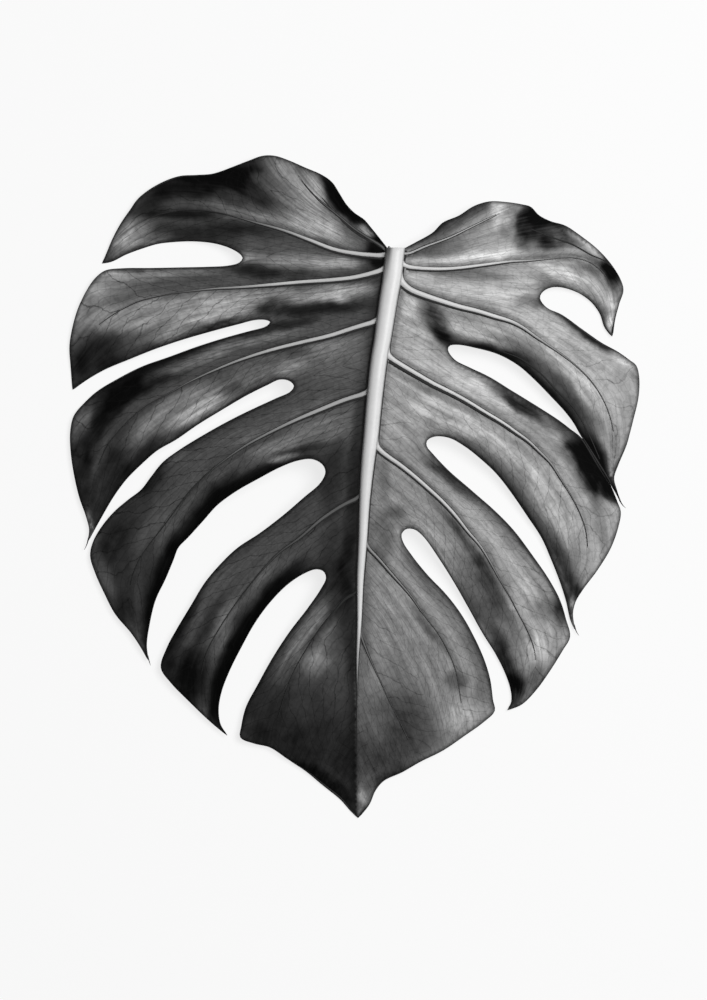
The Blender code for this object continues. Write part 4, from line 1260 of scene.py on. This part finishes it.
def on_blade(vein, root_y, side, pale):
    """A vein as a swept line on the blade, a little sunk."""
    spots, widths = vein
    root_pale, _, end_pale = pale
    root = vein_root(spots, root_y, side)
    line = []
    for i, place in enumerate(root):
        line.append((place, widths[0] * (1.0 + ROOT_FLARE * (1.0 - i / len(root)) ** 2), 0.0))
    for i in range(ROOT_SPOT, round(len(spots) * VEIN_SHARE)):
        line.append((spots[i].place, widths[i], i / len(spots)))
    found = []
    for place, width, share in line:
        half_width = vein_width(width, pale, share)
        paleness = mix(end_pale, root_pale, pale_share(pale, share) ** PALE_FADE)
        lift = (GROOVE_DEPTH - half_width * VEIN_SINK) * MM
        found.append(thread_point(place, half_width, lift, paleness))
    return found


print("veins with a pale root:", sum(pale[0] > 0 for pale in LEFT_PALE + RIGHT_PALE))

# %% [markdown]
# ## Dark lines along the feet of the ribs
# Where a rib meets the blade, the skin folds into a narrow furrow, and the shade in it is painted. A
# furrow that thin would need far more triangles than the blade has, so its shade is laid on as a fine
# dark thread of painted shadow, swept by the same tree as the veins. It is bolder on the side towards
# the leaf's tip, away from the lamp.

# %% Foot lines
# The painted shadow lines' half widths at the veins' roots, in squares: one for each vein on the side
# towards the tip, and one for all on the other side. Beyond the vein's turn a line has the width of its
# end.
FOOT_BELOW = {-1: [0.8, 1.4, 1.4, 1.4, 1.3, 0.9, 0.5], 1: [0.7, 1.1, 1.5, 2.0, 1.3, 1.1, 0.6]}
FOOT_ABOVE, FOOT_END, FOOT_SHARE = 0.55, 0.12, 0.85
# The painted shadow lines along the midrib's two feet: half widths in squares down the sheet.
MIDRIB_FEET = {
    -1: [(251, 0.5), (275, 1.0), (330, 1.2), (480, 1.3), (640, 0.9), (765, 0.3)],
    1: [(251, 1.5), (262, 1.3), (283, 0.8), (300, 0.4), (420, 0.8), (560, 0.8), (700, 0.3)],
}
NO_FOOT_ABOVE = {(-1, 1), (1, 1)}
# How much a painted shadow line thins on its way, how near it keeps to the rib, and how far it stands
# up.
FOOT_THINNING, RIB_HUG, FOOT_LIFT = 0.4, 0.8, 0.25
MIDRIB_FOOT_STEPS = 120


def vein_shadow_line(spots, pale, width, down, root_width):
    """The painted shadow line along one side of a vein."""
    found = []
    for i in range(1, round(len(spots) * FOOT_SHARE)):
        share = i / len(spots)
        rib = vein_width(vein_half_width(width, share), pale, share)
        thinned = root_width * (1.0 - FOOT_THINNING * share)
        foot = mix(FOOT_END, thinned, pale_share(pale, share))
        place = spots[i].place + beside(spots, i, down) * (rib * RIB_HUG + foot / 2)
        found.append(thread_point(place, foot, foot * FOOT_LIFT * SQUARE))
    return found


def midrib_shadow_line(side):
    """The painted shadow line along one side of the midrib."""
    table = MIDRIB_FEET[side]
    found = []
    for i in range(MIDRIB_FOOT_STEPS + 1):
        y = mix(table[0][0], table[-1][0], i / MIDRIB_FOOT_STEPS)
        width = read_table(table, y)
        found.append(thread_point(flank_at(y, side) + Vector((side * width / 2, 0.0)), width))
    return found


print("veins without an upper foot line:", len(NO_FOOT_ABOVE))

# %% [markdown]
# ## Tips, folds and the rim
# Four lobes end in a hair, three lobes have a sharp crease whose shade is painted on as a dark line, and
# the whole edge is a cord that is darker than the blade. At the blind ends of four slots that cord is
# pale callus. All are lines along the blade, so the same sweep makes them too.

# %% Hairs, creases and rim
# Each hair: three places on the sheet, and its height in millimetres.
AWNS = [
    [(88, 538), (86, 545), (83.5, 550), 2.0], [(147, 656), (148.5, 661), (150, 666), 2.0],
    [(620, 500), (623, 505), (626, 508), 4.0], [(574.5, 625), (577, 632), (579.5, 636), 1.6],
]
AWN_STEPS, AWN_WIDTHS = 8, (0.8, 0.15)
# Folds, each drawn as a thin dark line of painted shade along its crease, on the sheet of squares.
FOLDS = [
    [(503, 352), (519, 358), (538, 371), (556, 389.5), (575, 409.5), (589, 434), (600, 459)],
    [(531, 229), (546, 235), (560, 240), (572, 244), (583, 250), (592, 255), (604, 260), (612, 266)],
    [(383, 247), (366, 240), (350, 229), (334, 212), (322, 198)],
]
FOLD_HALF_WIDTH = 0.8
FOLD_ENDS, FOLD_FULLNESS = (0.08, 0.92), 0.5
# Where the rim is bolder, and where it is pale: a middle, a reach and a strength.
RIM_HALF_WIDTH, RIM_LIFT = 0.55, 0.55
BOLD_RIM = [
    (590, 338, 46, 0.9), (165, 182, 60, 0.7), (190, 338, 60, 0.5), (130, 372, 50, 0.5),
    (330, 792, 50, 0.9), (362, 812, 14, 0.8),
    (598, 459, 38, 0.95), (455, 480, 40, 0.7), (505, 525, 60, 0.5), (548, 580, 40, 0.5),
    (448, 600, 50, 0.5), (484, 665, 40, 0.4), (200, 437, 60, 0.3), (75, 345, 45, 0.4),
    (480, 372, 46, 0.6), (534, 405, 40, 0.6),
]
PALE_ENDS = [(258, 318, 16, 0.6), (288, 380, 9, 0.5), (314, 459, 14, 0.5), (322, 572, 9, 0.5)]


def fold_shade_line(knots):
    path = Path(smooth_curve(knots))
    steps = round(path.length / LINE_STEP)
    found = []
    for i in range(steps + 1):
        taper = math.sin(math.pi * mix(*FOLD_ENDS, i / steps)) ** FOLD_FULLNESS
        found.append(thread_point(path.at(i / steps), FOLD_HALF_WIDTH * taper))
    return found


def awn_line(awn):
    *knots, height = awn
    path = Path(smooth_curve(knots))
    shares = [i / AWN_STEPS for i in range(AWN_STEPS + 1)]
    return [(to_frame(*path.at(s), height), mix(*AWN_WIDTHS, s) * SQUARE, 0.0) for s in shares]


def strongest(x, y, marks):
    """The most that any of the marks gives to that place, fading from its middle to its reach."""
    return max(
        strength * max(1.0 - math.hypot(x - mark_x, y - mark_y) / reach, 0.0) ** 0.5
        for mark_x, mark_y, reach, strength in marks
    )


def rim_line():
    """The whole edge as one closed line of places, half widths and paleness."""
    found = []
    for (x, y), z in zip(places[:len(edge)], rise[:len(edge)]):
        half_width = (RIM_HALF_WIDTH + strongest(x, y, BOLD_RIM)) * SQUARE
        found.append((to_frame(x, y, z + RIM_LIFT), half_width, strongest(x, y, PALE_ENDS)))
    return found + found[:1]


print("hairs:", len(AWNS), "folds:", len(FOLDS), "pale slot ends:", len(PALE_ENDS))

# %% [markdown]
# ## A finish
# A finish is a material that starts from Blender's own shader. The mesh carries numbers and a UV map,
# and noise adds grain, so a finish needs a way to read each of them and to blend two greys.

# %% A material under construction
class Finish(Nodes):
    """A material under construction."""

    def __init__(self, name):
        self.material = bpy.data.materials.new(name)
        self.material.use_nodes = True
        super().__init__(self.material.node_tree)
        self.shader = self.tree.nodes["Principled BSDF"]

    def read(self, name):
        """A number that the mesh carries at each point."""
        return self.add("ShaderNodeAttribute", {"attribute_name": name}, output="Fac")

    def growth(self):
        """The two growth coordinates: away from the rib, and across the lobes."""
        uv = self.add("ShaderNodeUVMap", {"uv_map": "growth"})
        return [self.add("ShaderNodeSeparateXYZ", output=k, Vector=uv) for k in (0, 1)]

    def place(self):
        return self.add("ShaderNodeTexCoord", output="Object")

    def blotches(self, scale, detail=2.0):
        return self.add("ShaderNodeTexNoise", Vector=self.place(), Scale=scale, Detail=detail)

    def ramp(self, value, *stops):
        return self.add("ShaderNodeValToRGB", {"stops": stops}, Fac=value)

    def bump(self, height, strength, distance):
        return self.add("ShaderNodeBump", Height=height, Strength=strength, Distance=distance)

    def vector(self, operation, first, second):
        """Vector maths on two vectors."""
        made = self.tree.nodes.new("ShaderNodeVectorMath")
        made.operation = operation
        plug(self.tree, made.inputs[0], first)
        plug(self.tree, made.inputs[1], second)
        return Wire(self.tree, made.outputs[0])

    def blend(self, share, low, high):
        """A colour between two greys."""
        made = self.tree.nodes.new("ShaderNodeMix")
        made.data_type = "RGBA"
        plug(self.tree, made.inputs["Factor"], share)
        for socket, value in zip((made.inputs[6], made.inputs[7]), (low, high)):
            plug(self.tree, socket, value if isinstance(value, Wire) else (value, value, value, 1.0))
        return Wire(self.tree, made.outputs[2])

    def set(self, **values):
        for name, value in values.items():
            plug(self.tree, self.shader.inputs[name.replace("_", " ")], value)


print("a finish can:", [name for name in vars(Finish) if not name.startswith("_")])

# %% [markdown]
# ## The blade's finish
# The photograph is black and white, so the finish is in greys. The tone of the skin is a product: its
# half of the leaf, painted lighter on the right and darker on the left, its patch of painted light or
# shade, the painted shade near its free edge, and its grain each take a share. Fine veins are laid over
# it as dark lines. They run out between the side veins, and between them lies a net of tiny cells.
# Where the skin is pale it is glossy too.

# %% Blade finish
# The left half's darker tone is painted shade and the right half's lighter tone is painted light, from
# the lamp on the right.
SHADED_LEFT_TONE, LIT_RIGHT_TONE, BLACKEST, LINE_BLACK = 0.285, 0.463, 0.01, 0.003
LEAST_SHARE = 0.03
BRANCH_VEINS, BRANCH_SLANT, FINE_VEINS = 7.0, 4.0, 16.0
# How far the fine veins stray from their rule.
BRANCH_STRAY, FINE_STRAY = 1.9, 2.4
CELL_SCALE, CELL_WARP = 260.0, (0.004, 0.004, 0.0)
# How dark each kind of line and the painted shadow beside the ribs are, and how much less on the right
# half.
BRANCH_DARK, FINE_DARK, CELL_DARK, RIB_SHADOW_DARK, RIGHT_FAINTER = 0.55, 0.45, 0.18, 0.7, 0.25
EDGE_DARK, CLOUDS, STREAKS, SPECKLE = 0.45, 0.45, 0.45, 0.25


def line_mask(finish, phase, sharp, wide):
    """1 on every round number of the phase, fading to 0 beside it."""
    off = (phase.math("FRACT") - 0.5).math("ABSOLUTE") * 2.0
    return finish.ramp(off, (sharp, 0.0), (wide, 1.0))


def cell_net(finish):
    """The net of tiny cells, bent by a noise so that its sides aren't straight."""
    noise_colour = finish.add("ShaderNodeTexNoise", output=1, Vector=finish.place(), Scale=180.0)
    bent = finish.vector("ADD", finish.place(), finish.vector("MULTIPLY", noise_colour, CELL_WARP))
    cells = finish.add(
        "ShaderNodeTexVoronoi", {"feature": "DISTANCE_TO_EDGE"}, Vector=bent, Scale=CELL_SCALE
    )
    return finish.ramp(cells, (0.0, 1.0), (0.10, 0.0))


def fine_veins(finish, along, across):
    """Two kinds of fine vein, each as a mask: branches of the side vein, and finer ones between."""
    stray = finish.blotches(60.0, 5.0) - 0.5
    off_rib = (across - across.math("ROUND")).math("ABSOLUTE")
    slant = off_rib * BRANCH_VEINS - along * BRANCH_SLANT
    branches = line_mask(finish, slant + stray * BRANCH_STRAY, 0.91, 0.985)
    fine = line_mask(finish, across * FINE_VEINS + stray * FINE_STRAY, 0.82, 0.98)
    shown = finish.ramp(finish.blotches(30.0), (0.35, 0.0), (0.65, 1.0))
    return branches, fine * (shown * 0.7 + 0.3)


def skin_tone(finish, streaks):
    """The blade's tone without its lines."""
    # Painted light and shade by half: the right half lighter, the left half darker.
    tone = finish.read("side") * (LIT_RIGHT_TONE - SHADED_LEFT_TONE) + SHADED_LEFT_TONE
    ragged = finish.blotches(140.0, 6.0) * 0.9 + streaks * 1.1
    # The patches add painted sheen, highlights and shadows.
    patch = finish.read("patch") * ragged + 1.0
    # Painted shade near the free edges and beside the midrib's left foot.
    shade = 1.0 - finish.read("edge_shade") * (ragged * 0.4 + 0.6)
    tone = tone * patch.math("MAXIMUM", LEAST_SHARE) * shade.math("MAXIMUM", LEAST_SHARE)
    clouds, speckle = finish.blotches(26.0, 4.0), finish.blotches(420.0, 3.0)
    grain = (clouds - 0.5) * CLOUDS + (streaks - 0.5) * STREAKS + (speckle - 0.5) * SPECKLE + 1.0
    return (tone * (1.0 - finish.read("edge_line") * EDGE_DARK) * grain).math("MAXIMUM", BLACKEST)


def blade_finish():
    finish = Finish("leaf_blade")
    along, across = finish.growth()
    streaks = finish.add(
        "ShaderNodeTexNoise", Scale=1.0, Detail=5.0,
        Vector=finish.add("ShaderNodeCombineXYZ", X=along * 2.6, Y=across * 26.0, Z=0.0)
    )
    net_lines = cell_net(finish)
    branches, fine = fine_veins(finish, along, across)
    fainter = 1.0 - finish.read("side") * RIGHT_FAINTER
    dark = (branches * BRANCH_DARK + fine * FINE_DARK) * fainter + net_lines * CELL_DARK
    # The painted shadow beside the ribs darkens the skin.
    dark = (dark + finish.read("rib_near") ** 1.5 * RIB_SHADOW_DARK).clamped()
    tone = skin_tone(finish, streaks)
    finish.set(
        Base_Color=finish.blend(dark, (tone ** 2.2).clamped(), LINE_BLACK),
        Roughness=(0.80 - tone * 0.8).clamped(), Coat_Weight=(tone * 1.2 - 0.25).clamped(),
        Normal=finish.bump(streaks * 0.6 + net_lines * 0.12, 0.4, 0.0006),
        Coat_Roughness=0.35, Specular_IOR_Level=0.07
    )
    return finish.material


blade.data.materials.append(blade_finish())
print("nodes in the blade's finish:", len(blade.data.materials[0].node_tree.nodes))

# %% [markdown]
# ## The finishes of the ribs and the rim
# A rib is pale and finely grained. The midrib has painted shade down its left flank, as a round body is
# shaded, a little at its right edge and more at the top of its left flank, and it darkens towards its
# end. A side vein is pale only as far as its line says, and has painted shade down both flanks. The rim
# is dark horn.

# %% Rib and rim finishes
FLANK_SHADE_STOPS = ((0.0, 0.35), (0.08, 0.65), (0.28, 0.93), (0.5, 1.0), (0.9, 1.0), (1.0, 0.4))
VEIN_BLACK, FLANK_SHADE_BLACK, MIDRIB_BLACK, RIM_BLACK = 0.02, 0.012, 0.03, 0.02


def rib_base(name, dark, light):
    """What the ribs share: a finish, its pale colour and its roughness."""
    finish = Finish(name)
    clouds, grain = finish.blotches(60.0, 3.0), finish.blotches(700.0)
    finish.set(Normal=finish.bump(grain, 0.15, 0.0003), Specular_IOR_Level=0.3)
    colour = finish.blend((clouds * 0.7 + grain * 0.3).clamped(), dark, light)
    return finish, colour, clouds * 0.1 + 0.35


def vein_finish():
    finish, colour, roughness = rib_base("leaf_rib", 0.42, 0.62)
    colour = finish.blend(finish.read("pale"), VEIN_BLACK, colour)
    # Painted shade: away from its crest the vein turns near black down both flanks.
    crest = finish.ramp(finish.read("flank"), (0.62, 1.0), (0.86, 0.0))
    roughness = (roughness + 0.5 - finish.read("pale") * 0.5).clamped()
    finish.set(Base_Color=finish.blend(crest, FLANK_SHADE_BLACK, colour), Roughness=roughness)
    return finish.material


def midrib_finish():
    finish, colour, roughness = rib_base("midrib", 0.50, 0.72)
    across, down = finish.growth()
    # Painted shade across the midrib, darkest at its left foot, as a round body is shaded.
    flank = finish.ramp(across * 0.5 + 0.5, *FLANK_SHADE_STOPS)
    tail = finish.ramp(down * 0.1, (0.62, 1.0), (0.685, 0.15))
    # More painted shade at the top of the left flank.
    top = finish.ramp(down * 0.1, (0.25, 0.85), (0.285, 0.0))
    cheek = finish.ramp(across * 0.5 + 0.5, (0.2, 1.0), (0.38, 0.0))
    colour = finish.blend(flank * tail * (1.0 - top * cheek), MIDRIB_BLACK, colour)
    finish.set(Base_Color=colour, Roughness=roughness)
    return finish.material


def rim_finish():
    """Dark horn, with pale callus where the attribute says so."""
    finish = Finish("leaf_rim")
    grain = finish.blotches(500.0, 3.0)
    colour = finish.blend(finish.read("pale"), grain * RIM_BLACK, grain * 0.3 + 0.2)
    finish.set(
        Base_Color=colour, Roughness=grain * 0.3 + 0.45, Normal=finish.bump(grain, 0.2, 0.0002),
        Specular_IOR_Level=0.2
    )
    return finish.material


midrib.data.materials.append(midrib_finish())
print("finishes:", sorted(material.name for material in bpy.data.materials))

# %% [markdown]
# ## Sweeping the lines
# The veins, their painted shadow lines, the hairs and the folds' lines of painted shade are one piece,
# because they are one kind of line in one finish. The rim is a piece of its own, with fewer sides,
# because it is thinner.

# %% Side veins and rim
VEIN_SIDES, VEIN_HEIGHT, RIM_SIDES = 12, 0.85, 8


def lines_of_side(side, veins, table, pales):
    """Every vein of one side with its painted shadow lines, then the one along the midrib's foot."""
    found = []
    for n, ((spots, widths), (root_y, _, width), pale) in enumerate(zip(veins, table, pales)):
        found.append(on_blade((spots, widths), root_y, side, pale))
        found.append(vein_shadow_line(spots, pale, width, True, FOOT_BELOW[side][n]))
        if (side, n) not in NO_FOOT_ABOVE:
            found.append(vein_shadow_line(spots, pale, width, False, FOOT_ABOVE))
    return found + [midrib_shadow_line(side)]


vein_lines = lines_of_side(-1, left_veins, LEFT_VEINS, LEFT_PALE)
vein_lines += lines_of_side(1, right_veins, RIGHT_VEINS, RIGHT_PALE)
vein_lines += [awn_line(awn) for awn in AWNS] + [fold_shade_line(knots) for knots in FOLDS]
side_veins = sweep("side_veins", vein_lines, vein_finish(), VEIN_SIDES, VEIN_HEIGHT)
rim = sweep("edge_rim", [rim_line()], rim_finish(), RIM_SIDES, 1.0)
print("side vein faces:", len(side_veins.data.polygons), "rim faces:", len(rim.data.polygons))

# %% [markdown]
# ## Floor, light and camera
# The leaf lies on a pale floor, and the camera looks straight down on it through a long lens, so that
# the rise of the blade hardly shifts its outline. One large soft lamp stands above on the right, and
# picks out the ribs. The floor glows a little, which makes it near white without stronger lamps.

# %% Stage
FLOOR, FLOOR_SIZE, FLOOR_GREY, FLOOR_GLOW = -0.0002, 6.0, 0.14, 0.79
LAMP_PLACE, LAMP_SIZE, LAMP_POWER, SKY = (0.80, 0.42, 1.80), 1.0, 46.0, 0.13
WHITE = (1.0, 1.0, 1.0, 1.0)


def floor_plate():
    mesh = bpy.data.meshes.new("floor")
    half = FLOOR_SIZE / 2
    corners = [(-half, -half, FLOOR), (half, -half, FLOOR), (half, half, FLOOR), (-half, half, FLOOR)]
    mesh.from_pydata(corners, [], [(0, 1, 2, 3)])
    return add_object("floor", mesh)


floor = floor_plate()
paper = Finish("paper")
paper.set(Base_Color=(FLOOR_GREY, FLOOR_GREY, FLOOR_GREY, 1.0), Roughness=0.9)
paper.set(Emission_Color=WHITE, Emission_Strength=FLOOR_GLOW)
floor.data.materials.append(paper.material)

key = bpy.data.lights.new("key", "AREA")
key.size = LAMP_SIZE
key.energy = LAMP_POWER
lamp = add_object("key", key)
lamp.location = LAMP_PLACE
lamp.rotation_euler = (-lamp.location).to_track_quat("-Z", "Y").to_euler()

world = bpy.data.worlds.new("studio")
world.use_nodes = True
world.node_tree.nodes["Background"].inputs["Color"].default_value = WHITE
world.node_tree.nodes["Background"].inputs["Strength"].default_value = SKY
bpy.context.scene.world = world
bpy.context.scene.view_settings.view_transform = "Standard"

PHOTO_SIZE = (707, 1000)
AIM_HEIGHT, CAMERA_DISTANCE, SENSOR, CLIP_END = 8.0, 2.4, 36.0, 20.0
AIM = Vector(to_frame(PHOTO_SIZE[0] / 2, PHOTO_SIZE[1] / 2, AIM_HEIGHT))
lens = bpy.data.cameras.new("camera")
lens.sensor_width = SENSOR
lens.lens = SENSOR * CAMERA_DISTANCE / (PHOTO_SIZE[1] * SQUARE)
lens.clip_end = CLIP_END
camera = add_object("camera", lens)
camera.location = AIM + Vector((0.0, 0.0, CAMERA_DISTANCE))
bpy.context.scene.camera = camera
print(f"lens {lens.lens:.0f} mm")

# %% [markdown]
# ## Handing over
# The leaf has no joints, so every piece rides on the one body, `root`, and together they stand for the
# packed node `leaf`.

for piece in (blade, midrib, side_veins, rim):
    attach(piece, "root")
    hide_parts("leaf")
